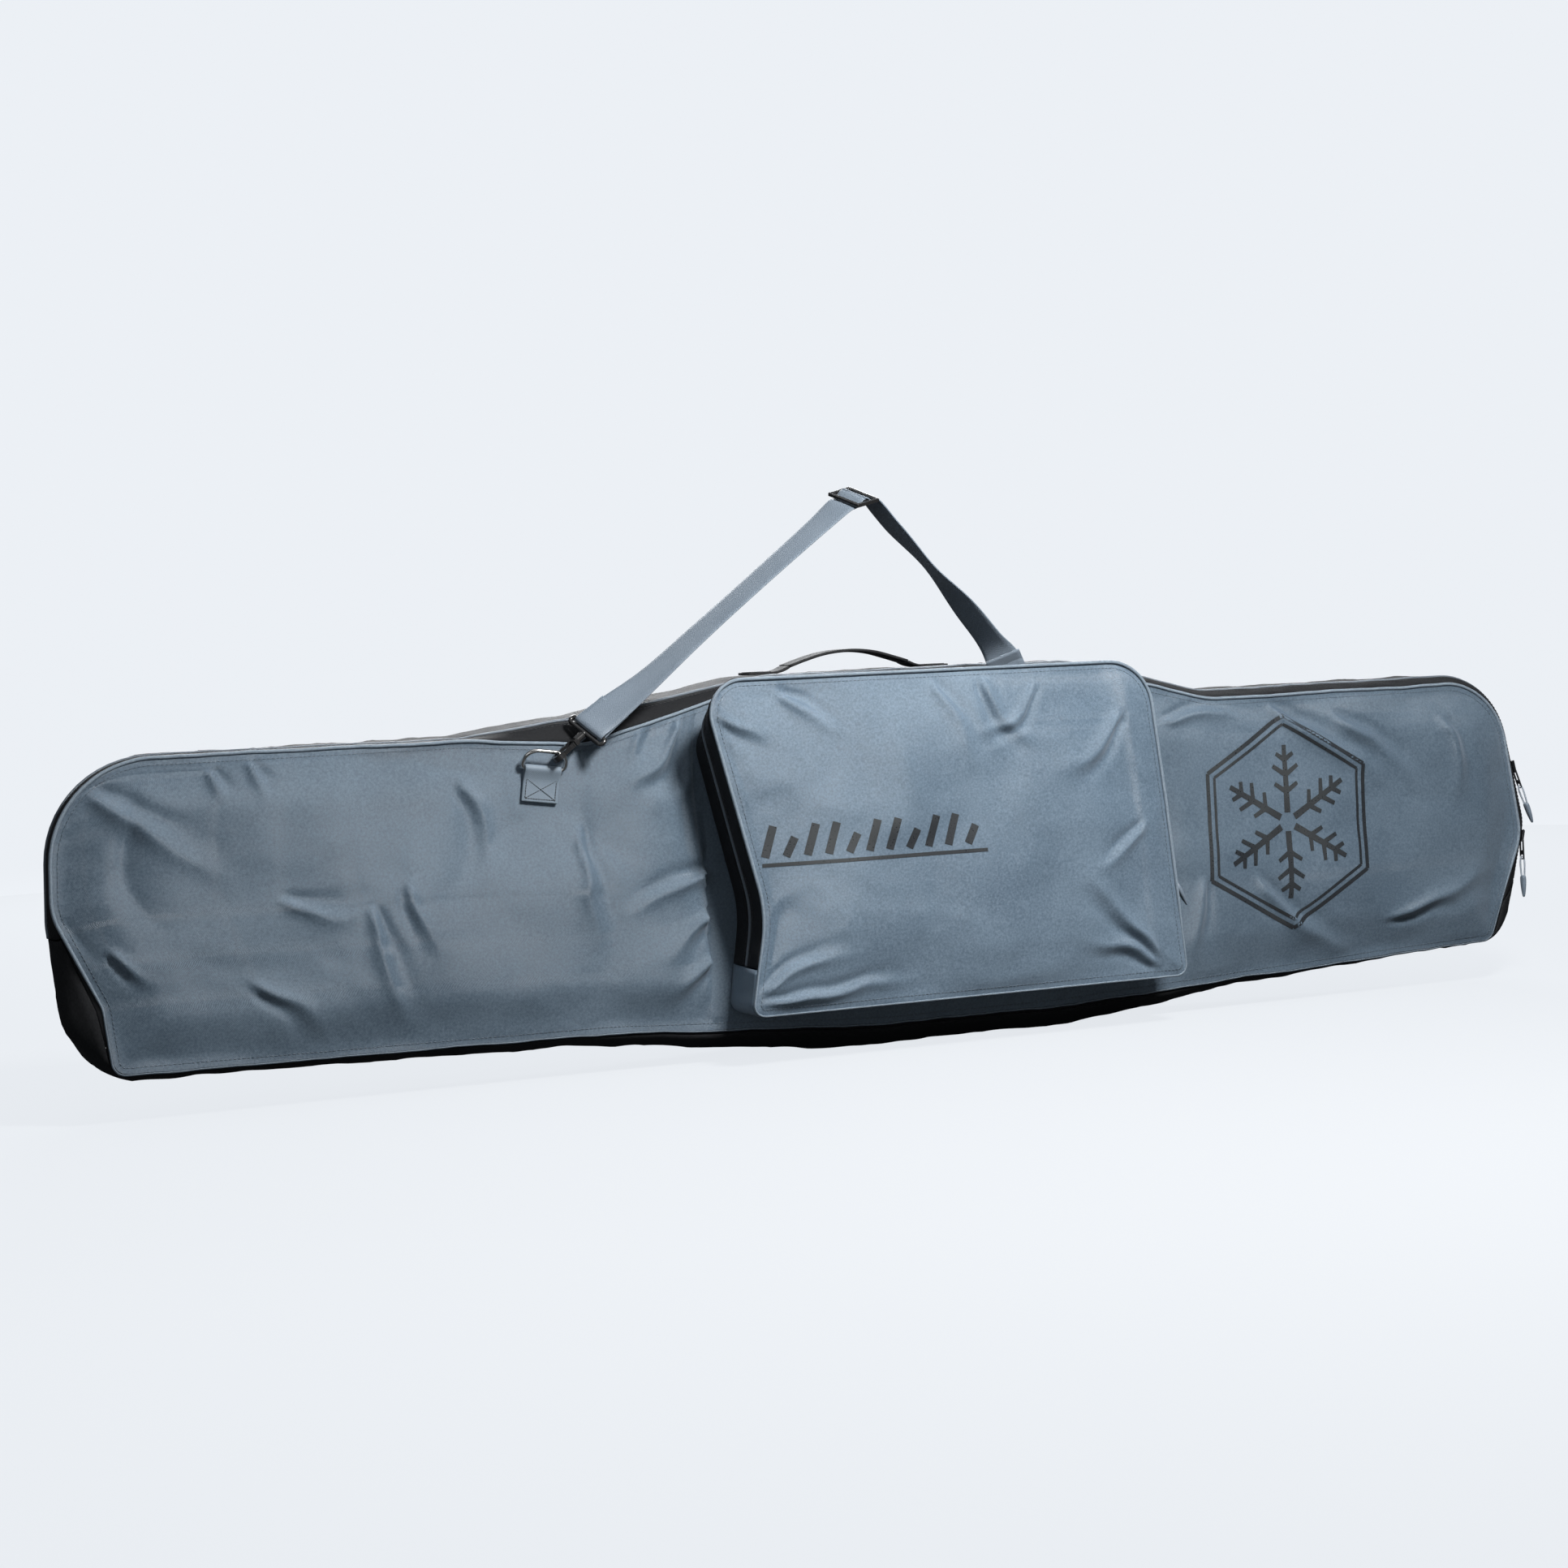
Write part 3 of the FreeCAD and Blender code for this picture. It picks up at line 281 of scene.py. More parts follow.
# ---------------------------------------------------------------- materials
class Shader:
    """A material under construction: nodes are added in one line and linked by name."""

    def __init__(self, name):
        self.material = bpy.data.materials.new(name)
        self.material.use_nodes = True
        self.tree = self.material.node_tree
        self.tree.nodes.clear()
        self.output = self.tree.nodes.new("ShaderNodeOutputMaterial")
        self.bsdf = self.tree.nodes.new("ShaderNodeBsdfPrincipled")
        self.tree.links.new(self.bsdf.outputs[0], self.output.inputs[0])
        self.position = self.tree.nodes.new("ShaderNodeTexCoord").outputs["Object"]
        self.bump = None

    def feed(self, socket, value):
        """Links a node's output to a socket, or sets the socket's own number or colour."""
        if isinstance(value, bpy.types.NodeSocket):
            self.tree.links.new(value, socket)
        else:
            socket.default_value = (*value, 1) if socket.type == "RGBA" else value

    def add(self, kind, settings=None, **inputs):
        """A node; an input is named, with _ for a space, or is i and its number."""
        node = self.tree.nodes.new("ShaderNode" + kind)
        for key, value in (settings or {}).items():
            setattr(node, key, value)
        for key, value in inputs.items():
            self.feed(node.inputs[int(key[1:]) if key[1:].isdigit() else key.replace("_", " ")], value)
        return node

    def math(self, operation, first, second=0.0):
        return self.add("Math", {"operation": operation}, i0=first, i1=second).outputs[0]

    def total(self, first, second, *more):
        """The sum of pairs of (value, weight)."""
        pair = [self.math("MULTIPLY", value, weight) for value, weight in (first, second)]
        together = self.math("ADD", *pair)
        for value, weight in more:
            together = self.math("ADD", together, self.math("MULTIPLY", value, weight))
        return together

    def wave(self, value, pitch):
        """A sine along a value in metres, with its pitch in millimetres."""
        return self.math("SINE", self.math("MULTIPLY", value, TAU / (pitch * MM)))

    def lengthwise(self):
        """The mesh's own coordinates in metres, across it and along it."""
        return self.add("SeparateXYZ", Vector=self.add("UVMap").outputs[0]).outputs[:2]

    def noise(self, scale, detail=3.0, roughness=0.55, stretch=(1.0, 1.0, 1.0)):
        place = self.position
        if stretch != (1.0, 1.0, 1.0):
            place = self.add("Mapping", Vector=place, Scale=stretch).outputs[0]
        return self.add("TexNoise", Vector=place, Scale=scale, Detail=detail, Roughness=roughness).outputs[0]

    def ramp(self, value, low, high, out_low=0.0, out_high=1.0):
        limits = {"From_Min": low, "From_Max": high, "To_Min": out_low, "To_Max": out_high}
        return self.add("MapRange", Value=value, **limits).outputs[0]

    def mix(self, share, first, second):
        return self.add("Mix", {"data_type": "RGBA"}, Factor=share, i6=first, i7=second).outputs[2]

    def raise_by(self, height, distance, strength=1.0):
        """Bump, on top of any bump already there."""
        node = self.add("Bump", Height=height, Strength=strength, Distance=distance)
        if self.bump is not None:
            self.feed(node.inputs["Normal"], self.bump)
        self.bump = node.outputs[0]

    def patchy(self, patches, colour, dark, rough, smoother, rougher):
        """Colour and roughness that vary with slow patches."""
        shade = self.mix(self.ramp(patches, 0.35, 0.65), tuple(channel * dark for channel in colour), colour)
        return shade, self.ramp(patches, 0.3, 0.7, rough * smoother, rough * rougher)

    def done(self, colour, roughness, **constants):
        sockets = {"Base Color": colour, "Roughness": roughness, "Normal": self.bump}
        sockets.update({key.replace("_", " "): value for key, value in constants.items()})
        for key, value in sockets.items():
            self.feed(self.bsdf.inputs[key], value)
        return self.material


def cloth(name, dark, light, rough, pitch=1.1, sheen=0.25, weave=0.00012, crumple=0.0006, gloss=0.5):
    """Woven cloth: plain weave, fine mottling, slow shade changes and small creases."""
    s = Shader(name)
    across, along = [s.wave(way, pitch) for way in s.lengthwise()]
    mottle = s.noise(430.0, 3.0, 0.7)
    slow = s.noise(9.0)
    s.raise_by(s.noise(46.0, 4.0, 0.5), crumple, 0.55)
    s.raise_by(mottle, 0.00025, 0.5)
    s.raise_by(s.math("MULTIPLY", across, along), weave, 0.8)
    shade = s.ramp(s.total((slow, 0.3), (mottle, 0.7)), 0.36, 0.64)
    rough_map = s.ramp(s.total((mottle, 0.6), (slow, 0.4)), 0.35, 0.65, *rough)
    finish = {"Sheen_Weight": sheen, "Sheen_Roughness": 0.45, "Sheen_Tint": (0.75, 0.85, 1.0)}
    return s.done(s.mix(shade, dark, light), rough_map, Specular_IOR_Level=gloss, **finish)


def webbing(name, dark, light, pitch=2.0, sheen=0.3, rough=0.55, depth=0.00014, gloss=0.5):
    """Woven webbing: ribs across it, herringbone columns and fine yarn."""
    s = Shader(name)
    across, along = s.lengthwise()
    column = s.math("PINGPONG", across, 3.4 * MM)
    ribs = s.wave(s.math("ADD", along, s.math("MULTIPLY", column, 0.8)), pitch)
    mottle = s.noise(700.0, 2.0, 0.6)
    slow = s.noise(16.0, 2.0)
    body = s.total((ribs, 0.6), (s.wave(across, 1.1), 0.25))
    shade = s.total((s.ramp(body, -0.85, 0.85), 0.16), (mottle, 0.44), (slow, 0.4))
    s.raise_by(mottle, 0.00015, 0.4)
    s.raise_by(body, depth, 0.6)
    finish = {"Sheen_Weight": sheen, "Sheen_Roughness": 0.5, "Sheen_Tint": (0.8, 0.88, 1.0)}
    return s.done(s.mix(s.ramp(shade, 0.3, 0.7), dark, light), rough, Specular_IOR_Level=gloss, **finish)


def metal(name, colour, rough, scratch, metallic=1.0, coat=0.0):
    """Polished or painted metal with fine scratches and smudges."""
    s = Shader(name)
    s.raise_by(s.noise(1.0, 3.0, stretch=(300.0, 2400.0, 2400.0)), 0.00004, scratch)
    look = s.patchy(s.noise(90.0, 4.0), colour, 0.78, rough, 0.75, 1.35)
    return s.done(*look, Metallic=metallic, Coat_Weight=coat, Coat_Roughness=0.12)


def moulded(name, colour, rough, grain=0.00008, coat=0.0):
    """Moulded plastic or rubber with a fine spark grain."""
    s = Shader(name)
    s.raise_by(s.noise(2600.0, 2.0), grain, 0.6)
    look = s.patchy(s.noise(60.0), colour, 0.82, rough, 0.85, 1.15)
    return s.done(*look, Coat_Weight=coat, Coat_Roughness=0.1)


def film(name):
    """Printed glossy film on the cloth, a little worn."""
    s = Shader(name)
    wear = s.noise(420.0, 4.0, 0.65)
    s.raise_by(wear, 0.00018, 0.5)
    colour = s.mix(s.ramp(s.noise(9.0, 2.0), 0.4, 0.62), (0.018, 0.021, 0.025), (0.040, 0.044, 0.047))
    return s.done(colour, s.ramp(wear, 0.3, 0.7, 0.24, 0.4), Coat_Weight=0.4, Coat_Roughness=0.2)


SLATE = cloth("slate cloth", (0.070, 0.107, 0.150), (0.136, 0.192, 0.252), (0.34, 0.50))
# The front panel is the same slate cloth as the pocket, painted darker: painted shade that stands in for the
# dimmer light on the panel.
SHADED_PANEL_CLOTH = cloth("panel cloth with painted shade", (0.056, 0.086, 0.121), (0.108, 0.153, 0.201), (0.34, 0.50), sheen=0.2)
MATT_CLOTH = {"pitch": 1.0, "sheen": 0.02, "gloss": 0.12, "crumple": 0.0008}
BLACK = cloth("black cloth", (0.008, 0.0085, 0.010), (0.016, 0.017, 0.019), (0.6, 0.75), **MATT_CLOTH)
EVEN_CLOTH = {"pitch": 1.0, "sheen": 0.05, "gloss": 0.25, "weave": 0.00003, "crumple": 0.0016}
# The back panel is the same black cloth as the gussets, painted about twice as light: painted light that
# stands in for the light the back lacks.
BACK_CLOTH_PAINTED_LIGHTER = cloth(
    "black back cloth painted lighter", (0.017, 0.018, 0.021), (0.030, 0.032, 0.036), (0.55, 0.7), **EVEN_CLOTH
)
LINING = cloth("lining", (0.030, 0.034, 0.040), (0.048, 0.054, 0.062), (0.4, 0.55), 0.8, crumple=0.0012)
PIPING = cloth("piping", (0.115, 0.155, 0.20), (0.185, 0.235, 0.285), (0.38, 0.5), 0.9, 0.35, crumple=0.0003)
FINE_CLOTH = {"pitch": 0.9, "sheen": 0.05, "gloss": 0.2}
BLACK_PIPING = cloth("black piping", (0.010, 0.011, 0.012), (0.022, 0.023, 0.025), (0.5, 0.6), **FINE_CLOTH)
BLACK_TAPE = webbing("black zip tape", (0.010, 0.011, 0.013), (0.020, 0.022, 0.024), 1.2, 0.04, gloss=0.2)
COIL = webbing("zip coil", (0.070, 0.090, 0.115), (0.15, 0.18, 0.215), 1.5, 0.1, 0.4, depth=0.0006)
STRAP = webbing("strap webbing", (0.098, 0.127, 0.162), (0.162, 0.198, 0.240), sheen=0.12, gloss=0.3)
TAB_WEB = webbing("tab webbing", (0.115, 0.155, 0.195), (0.165, 0.21, 0.26), pitch=1.7)
HANDLE = webbing("handle webbing", (0.010, 0.0105, 0.012), (0.022, 0.023, 0.025), 1.8, 0.03, 0.7, gloss=0.15)
CORD = webbing("cord", (0.28, 0.33, 0.40), (0.42, 0.48, 0.55), pitch=1.0, depth=0.00025)
THREAD = moulded("thread", (0.080, 0.108, 0.138), 0.5)
DARK_THREAD = moulded("dark thread", (0.020, 0.022, 0.026), 0.5)
STEEL = metal("polished steel", (0.62, 0.62, 0.61), 0.16, 0.25)
HOOK_BLACK = metal("black hook", (0.016, 0.016, 0.017), 0.26, 0.3, metallic=0.35, coat=0.6)
SLIDER_METAL = metal("slider metal", (0.12, 0.125, 0.135), 0.34, 0.4)
PULL_METAL = metal("pull metal", (0.42, 0.44, 0.47), 0.3, 0.5)
BUCKLE = moulded("buckle plastic", (0.014, 0.014, 0.015), 0.28, coat=0.35)
GRIP = moulded("moulded grip", (0.17, 0.215, 0.27), 0.42, grain=0.00015)
FILM = film("printed film")


# ---------------------------------------------------------------- meshes
def dress(obj, material, body, slot, replaced=()):
    """Gives a finished piece its material and body, and hides the CAD nodes that it stands for; slot is not
    used.
    """
    obj.data.materials.clear()
    obj.data.materials.append(material)
    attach(obj, body)
    if replaced:
        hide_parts(*replaced)
    return obj


def mesh_object(name, vertices, faces, uv=None):
    """A smooth mesh object from points in millimetres; uv holds one pair per vertex, in metres."""
    mesh = bpy.data.meshes.new(name)
    mesh.from_pydata((np.asarray(vertices) * MM).tolist(), [], [list(map(int, face)) for face in faces])
    layer = mesh.uv_layers.new(name="UVMap")
    loops = np.empty(len(mesh.loops), dtype=np.int64)
    mesh.loops.foreach_get("vertex_index", loops)
    uv = np.zeros((len(vertices), 2)) if uv is None else np.asarray(uv, float)
    layer.data.foreach_set("uv", uv[loops].ravel())
    mesh.polygons.foreach_set("use_smooth", [True] * len(mesh.polygons))
    mesh.validate()
    mesh.update()
    obj = bpy.data.objects.new(name, mesh)
    bpy.context.scene.collection.objects.link(obj)
    return obj


def square_to(vectors, along):
    """The part of each vector that is square to a unit way, at unit length."""
    return normalised(vectors - along * (vectors * along).sum(axis=-1, keepdims=True))


def grid_index(rows, columns, first=0):
    return first + np.arange(rows * columns).reshape(rows, columns)


def grid_faces(index):
    return np.stack([index[:-1, :-1], index[:-1, 1:], index[1:, 1:], index[1:, :-1]], axis=2).reshape(-1, 4)


def tube_faces(rows, sides, closed=False, flip=False):
    """Faces of a tube given as rings of points, capped at both ends unless it is closed."""
    index = grid_index(rows, sides)
    here, ahead = (index, np.roll(index, -1, axis=0)) if closed else (index[:-1], index[1:])
    corners = [here, np.roll(here, -1, axis=1), np.roll(ahead, -1, axis=1), ahead]
    faces = np.stack(corners, axis=2).reshape(-1, 4)
    caps = [] if closed else [index[0][::-1], index[-1]]
    if flip:
        faces, caps = faces[:, [0, 3, 2, 1]], [cap[::-1] for cap in caps]
    return [*faces.tolist(), *(cap.tolist() for cap in caps)]


def grid_uv(points):
    """Each point's travel along the grid's rows and columns, in metres."""
    du = np.linalg.norm(np.diff(points, axis=1, prepend=points[:, :1]), axis=2)
    dv = np.linalg.norm(np.diff(points, axis=0, prepend=points[:1]), axis=2)
    u, v = np.cumsum(du, axis=1), np.cumsum(dv, axis=0)
    row, column = points.shape[0] // 2, points.shape[1] // 2
    u = u - u[:, column : column + 1] + u[row, column]
    return np.stack([u, v], axis=2) * MM


def sheet_mesh(name, points, thickness, outward):
    """A closed thin solid: the grid as its outer face and a second face behind it.
    outward is a function from points to rough outward directions, or one direction."""
    rows, columns = points.shape[:2]
    normal = normalised(np.cross(np.gradient(points, axis=1), np.gradient(points, axis=0)))
    wanted = outward(points) if callable(outward) else np.array(outward, float)
    flip = float((normal * wanted).sum()) < 0
    if flip:
        normal = -normal
    rear = points - normal * thickness
    index = grid_index(rows, columns)
    front_faces = grid_faces(index)
    shift = rows * columns
    sides = []
    for edge in (index[0], index[-1][::-1], index[::-1, 0], index[:, -1]):
        sides.append(np.stack([edge[:-1], edge[:-1] + shift, edge[1:] + shift, edge[1:]], axis=1))
    faces = np.concatenate([front_faces, front_faces[:, ::-1] + shift, *sides])
    if flip:
        faces = faces[:, ::-1]
    vertices = np.concatenate([points.reshape(-1, 3), rear.reshape(-1, 3)])
    return mesh_object(name, vertices, faces, np.tile(grid_uv(points).reshape(-1, 2), (2, 1)))


def way_along(points, closed=False):
    """Which way a line of points runs at each of them."""
    if closed:
        return np.roll(points, -1, axis=0) - np.roll(points, 1, axis=0)
    return np.gradient(points, axis=0)


def sweep(name, path, radius, sides=8, closed=False, side_way=(0, 1, 0)):
    """A round bar along a path; radius is one number or one for each point."""
    path = np.asarray(path, float)
    tangent = normalised(way_along(path, closed))
    side = square_to(np.broadcast_to(np.array(side_way, float), path.shape), tangent)
    radius = np.broadcast_to(np.asarray(radius, float), (len(path),))
    angles = np.arange(sides) * TAU / sides
    turns = np.stack([np.cos(angles), np.sin(angles)])[..., None]
    spokes = turns[0] * np.cross(tangent, side)[:, None] + turns[1] * side[:, None]
    rings = path[:, None] + radius[:, None, None] * spokes
    uv = np.stack(np.meshgrid(angles * float(radius.mean()) * MM, travel_of(path) * MM), axis=2)
    faces = tube_faces(len(path), sides, closed)
    return mesh_object(name, rings.reshape(-1, 3), faces, uv.reshape(-1, 2))


def smooth_line(points, count):
    """A smooth curve (Catmull-Rom, centripetal) through points, evenly sampled."""
    points = np.asarray(points, float)
    ends = [2 * points[0] - points[1], *points, 2 * points[-1] - points[-2]]
    dense = []
    for group in zip(ends[:-3], ends[1:-2], ends[2:-1], ends[3:]):
        knots = [0.0]
        for first, second in zip(group, group[1:]):
            knots.append(knots[-1] + math.sqrt(max(np.linalg.norm(second[:3] - first[:3]), 1e-6)))
        t = np.linspace(knots[1], knots[2], 24, endpoint=False)[:, None]

        def between(first, second, low, high):
            span = knots[high] - knots[low]
            return (knots[high] - t) / span * first + (t - knots[low]) / span * second

        a, b, c, d = group
        a, b, c = between(a, b, 0, 1), between(b, c, 1, 2), between(c, d, 2, 3)
        dense.append(between(between(a, b, 0, 2), between(b, c, 1, 3), 1, 2))
    return even(np.concatenate([*dense, points[-1:]]), count)


# Half of a webbing's section, from edge to edge: (share of half its width, share of half its thickness).
WEB_SECTION = np.array(
    [(-1, 0.35), (-0.97, 0.9), (-0.7, 1), (-0.35, 1), (0, 1), (0.35, 1), (0.7, 1), (0.97, 0.9), (1, 0.35)]
)


def ribbon(name, stations, width, thickness, step=3.0, cup=0.0):
    """Flat webbing through stations of (centre, width direction), and its length in metres."""
    data = [[*centre, *normalised(np.array(across, float))] for centre, across in stations]
    count = max(int(line_length(smooth_line(data, 200)) / step), 8)
    line = smooth_line(data, count)
    path = line[:, :3]
    along = normalised(np.gradient(path, axis=0))
    side = square_to(line[:, 3:], along)
    normal = np.cross(side, along)
    across, depth = WEB_SECTION.T * [[width / 2], [thickness / 2]]
    lift = -cup * WEB_SECTION[:, 0] ** 2
    across = np.concatenate([across, across[::-1]])
    depth = np.concatenate([lift + depth, (lift - depth)[::-1]])
    rings = path[:, None] + across[None, :, None] * side[:, None] + depth[None, :, None] * normal[:, None]
    travel = travel_of(path) * MM
    uv = np.stack(np.meshgrid(across * MM, travel), axis=2)
    faces = tube_faces(count, len(across), flip=True)
    return mesh_object(name, rings.reshape(-1, 3), faces, uv.reshape(-1, 2)), float(travel[-1])


def perlin(x, y, seed):
    """Smooth 2-D noise, about -1 to 1."""
    x = np.asarray(x, float) + 1000.5
    y = np.asarray(y, float) + 1000.5
    xi = np.floor(x).astype(np.int64)
    yi = np.floor(y).astype(np.int64)
    xf = x - xi
    yf = y - yi
    u = xf**3 * (xf * (xf * 6 - 15) + 10)
    v = yf**3 * (yf * (yf * 6 - 15) + 10)

    def slope(ix, iy, dx, dy):
        mixed = (ix * 374761393 + iy * 668265263 + seed * 974634777) & 0xFFFFFFFF
        mixed = ((mixed ^ (mixed >> 13)) * 1274126177) & 0xFFFFFFFF
        angle = (mixed ^ (mixed >> 16)) / 0xFFFFFFFF * TAU
        return np.cos(angle) * dx + np.sin(angle) * dy

    low = slope(xi, yi, xf, yf) * (1 - u) + slope(xi + 1, yi, xf - 1, yf) * u
    high = slope(xi, yi + 1, xf, yf - 1) * (1 - u) + slope(xi + 1, yi + 1, xf - 1, yf - 1) * u
    return (low * (1 - v) + high * v) * 1.5


def fade(value, low, high):
    """0 below low, 1 above high, smooth between."""
    share = np.clip((value - low) / (high - low), 0, 1)
    return share * share * (3 - 2 * share)


def near_segment(x, z, start, end):
    """Each point's nearest place on a segment, as a share of it, and how far away that is."""
    dx, dz = end[0] - start[0], end[1] - start[1]
    share = np.clip(((x - start[0]) * dx + (z - start[1]) * dz) / max(dx * dx + dz * dz, 1e-9), 0, 1)
    return share, np.hypot(x - start[0] - share * dx, z - start[1] - share * dz)


def edge_distance(x, z, outline):
    """Distance from each point to a line."""
    best = np.full(np.shape(x), 1e9)
    for start, end in zip(outline[:-1], outline[1:]):
        best = np.minimum(best, near_segment(x, z, start, end)[1])
    return best


def folds(x, z, lines):
    """Height of the listed folds. Each is (points, height, width, lean): a ridge where height is above 0,
    a valley where it is below, and lean puts the opposite slope on its left or right side."""
    x, z = x + 5 * perlin(x / 46, z / 46, 91), z + 5 * perlin(x / 46, z / 46, 92)
    total = np.zeros(np.shape(x))
    for points, height, width, lean in lines:
        points = smooth_line(points, 14)
        length = line_length(points)
        best = np.full(np.shape(x), 1e9)
        signed, travel = np.zeros(np.shape(x)), np.zeros(np.shape(x))
        gone = 0.0
        for start, end in zip(points[:-1], points[1:]):
            share, gap = near_segment(x, z, start, end)
            span = math.dist(start, end)
            side = np.sign((end[0] - start[0]) * (z - start[1]) - (end[1] - start[1]) * (x - start[0]))
            nearer = gap < best
            best = np.where(nearer, gap, best)
            signed = np.where(nearer, gap * side, signed)
            travel = np.where(nearer, gone + share * span, travel)
            gone += span
        share = travel / length
        ends = fade(share, -0.02, 0.16) * fade(1 - share, -0.02, 0.75)
        spread = width * (0.36 + 0.75 * share)
        main = np.exp(-np.abs(signed / spread) ** 1.4)
        partner = np.exp(-(((signed - lean * 1.5 * spread) / spread) ** 2)) if lean else 0.0
        total += height * ends * (main - 0.6 * partner)
    return total


def seam_sway(points):
    """A slow wander of the seams, the same for every piece that meets there."""
    x, y, z = points[..., 0], points[..., 1], points[..., 2]
    inside = fade(760 - np.abs(x), 0, 60)
    low = fade(95 - z, 0, 60) * inside * fade(y + 40, 0, 12) * fade(60 - y, 0, 60)
    high = fade(z - 300, 0, 25) * inside * fade(25 - y, 0, 25)
    moved = points.copy()
    moved[..., 2] += low * (1.5 * perlin(x / 62, y / 90, 3) + 0.6 * perlin(x / 23, y / 60, 4))
    moved[..., 2] += high * (1.3 * perlin(x / 80, y / 90, 5) + 0.5 * perlin(x / 24, y / 60, 6))
    return moved


def outward_of(points):
    """Unit ways out of the bag, for rows of points that run anticlockwise."""
    along = np.gradient(points, axis=1)
    return normalised(np.stack([along[..., 2], np.zeros(points.shape[:2]), -along[..., 0]], axis=2))


def strip_points(section, depths, start, end, step=5.0, lift=0.0):
    """A strip of an outline between two places, one row for each depth, moved outward by lift."""
    rows = []
    count = None
    for y in depths:
        points = walk(section(y), start, end)
        count = count or int(line_length(points) / step) + 1
        points = even(points, count)
        rows.append(np.stack([points[:, 0], np.full(count, float(y)), points[:, 1]], axis=1))
    points = np.array(rows)
    return points + outward_of(points) * np.broadcast_to(lift, points.shape[:2])[..., None]


def crumpled(points, amount, seed):
    """The same grid with small creases, fading out at its long edges."""
    rows = len(points)
    depth = points[..., 1]
    u = np.broadcast_to(travel_of(points[rows // 2])[None], depth.shape)
    rough = perlin(u / 48, depth / 48, seed) + 0.6 * perlin(u / 24, depth / 40, seed + 1)
    creases = 1 - np.abs(perlin(u / 38.4, depth / 76.8, seed + 2)) * 2.2
    height = rough + 0.7 * np.clip(creases, 0, 1) ** 2
    share = np.linspace(0, 1, rows)[:, None]
    mask = fade(share, 0, 0.14) * fade(1 - share, 0, 0.14)
    return points + outward_of(points) * (height * mask * amount)[..., None]


def coons(outline, corners, columns, rows):
    """A grid (x, z) filling a closed outline whose four corners are given as points, anticlockwise
    from bottom left."""
    points = outline[:-1]
    marks = [int(np.argmin(np.hypot(*(points - np.array(corner)).T))) for corner in corners]

    def side(first, last, count):
        return even(np.roll(points, -first, axis=0)[: (last - first) % len(points) + 1], count)

    bottom = side(marks[0], marks[1], columns)
    right = side(marks[1], marks[2], rows)
    top = side(marks[2], marks[3], columns)[::-1]
    left = side(marks[3], marks[0], rows)[::-1]
    u = np.linspace(0, 1, columns)[None, :, None]
    v = np.linspace(0, 1, rows)[:, None, None]
    grid = (1 - v) * bottom[None] + v * top[None] + (1 - u) * left[:, None] + u * right[:, None]
    grid -= (1 - u) * (1 - v) * bottom[0] + u * (1 - v) * bottom[-1] + (1 - u) * v * top[0] + u * v * top[-1]
    return grid


# A stitch from end to end: (share of its length from the middle, share of its radius).
STITCH = ((-0.5, 0.35), (-0.32, 1), (0.32, 1), (0.5, 0.35))


def stitches(name, path, pitch=4.2, length=2.9, radius=0.35):
    """A row of thread stitches along a path, as one mesh."""
    path = np.asarray(path, float)
    count = int(line_length(path) / pitch)
    dense = even(path, count * 2 + 1)
    angles = np.arange(5)[:, None] * TAU / 5
    rings, faces = [], []
    for number in range(count):
        before, middle, after = dense[2 * number : 2 * number + 3]
        along = normalised(after - before)
        side = normalised(np.cross(along, (0.0, 1.0, 0.0) if abs(along[1]) < 0.8 else (1.0, 0.0, 0.0)))
        spokes = (side * np.cos(angles) + np.cross(along, side) * np.sin(angles)) * radius
        first = len(rings) * len(angles)
        rings += [middle + along * length * share + spokes * scale for share, scale in STITCH]
        faces += [[corner + first for corner in face] for face in tube_faces(len(STITCH), len(angles))]
    return mesh_object(name, np.concatenate(rings), faces)


def box_stitches(name, near, far, point_at, pitch, length, radius, body, slot, turn=1):
    """A box with a cross in it, sewn between two of its corners; turn is the way of the last thread."""
    (a, b), (c, d) = near, far
    lines = ([(a, b), (c, b), (c, d), (a, d), (a, b)], [(a, b), (c, d)], [(c, b), (a, d)][::turn])
    for number, line in enumerate(lines):
        thread = stitches(f"{name}_{number}", [point_at(*corner) for corner in line], pitch, length, radius)
        dress(thread, DARK_THREAD, body, slot)


# ---------------------------------------------------------------- pull cords
PULLS = {
    "main_slider_upper": "zip_pull_upper",
    "main_slider_lower": "zip_pull_lower",
    "pocket_slider": "pocket_pull",
}
CORD_HALF = [
    (1.05, 0.0, -0.3),
    (2.3, 0.5, 2.5),
    (1.7, 1.6, 8.6),
    (0.7, 2.3, 16.0),
    (0.2, 2.1, 24.0),
    (0.0, 2.3, 30.0),
    (0.0, 2.3, 34.5),
]
CORD_ROUTE = CORD_HALF + [(-out, -across, down) for out, across, down in reversed(CORD_HALF)]
PULL_TILTS = {"main_slider_upper": 8, "main_slider_lower": 13, "pocket_slider": 22}
PIVOT_DROP = -5.0
PIVOT_OUT = 1.0 + 1.1 + 1.6 + 1.25
HOLE_DROP = 18.4
GRIP_DROP = HOLE_DROP + 22
GRIP_SIDES = 20
# The moulded end from top to bottom: (drop, half of its depth, half of its width).
GRIP_LEVELS = [
    (-0.6, 1.6, 2.8),
    (0.3, 2.25, 3.6),
    (3, 2.6, 3.95),
    (8, 2.45, 3.7),
    (13, 2.25, 3.35),
    (19, 1.7, 2.4),
    (23.2, 1.15, 1.5),
    (24, 0.7, 0.9),
]


def zip_frame(section, y, index, share):
    """Where a slider stands: (origin, out of the cloth, up along the zip), in millimetres."""
    corners = section(y)
    x, z = place(corners, (index, share))
    way_x, way_z = normalised(place(corners, (index, 1)) - place(corners, (index, 0)))
    return Vector((x, y, z)), Vector((way_z, 0, -way_x)), Vector((way_x, 0, way_z))


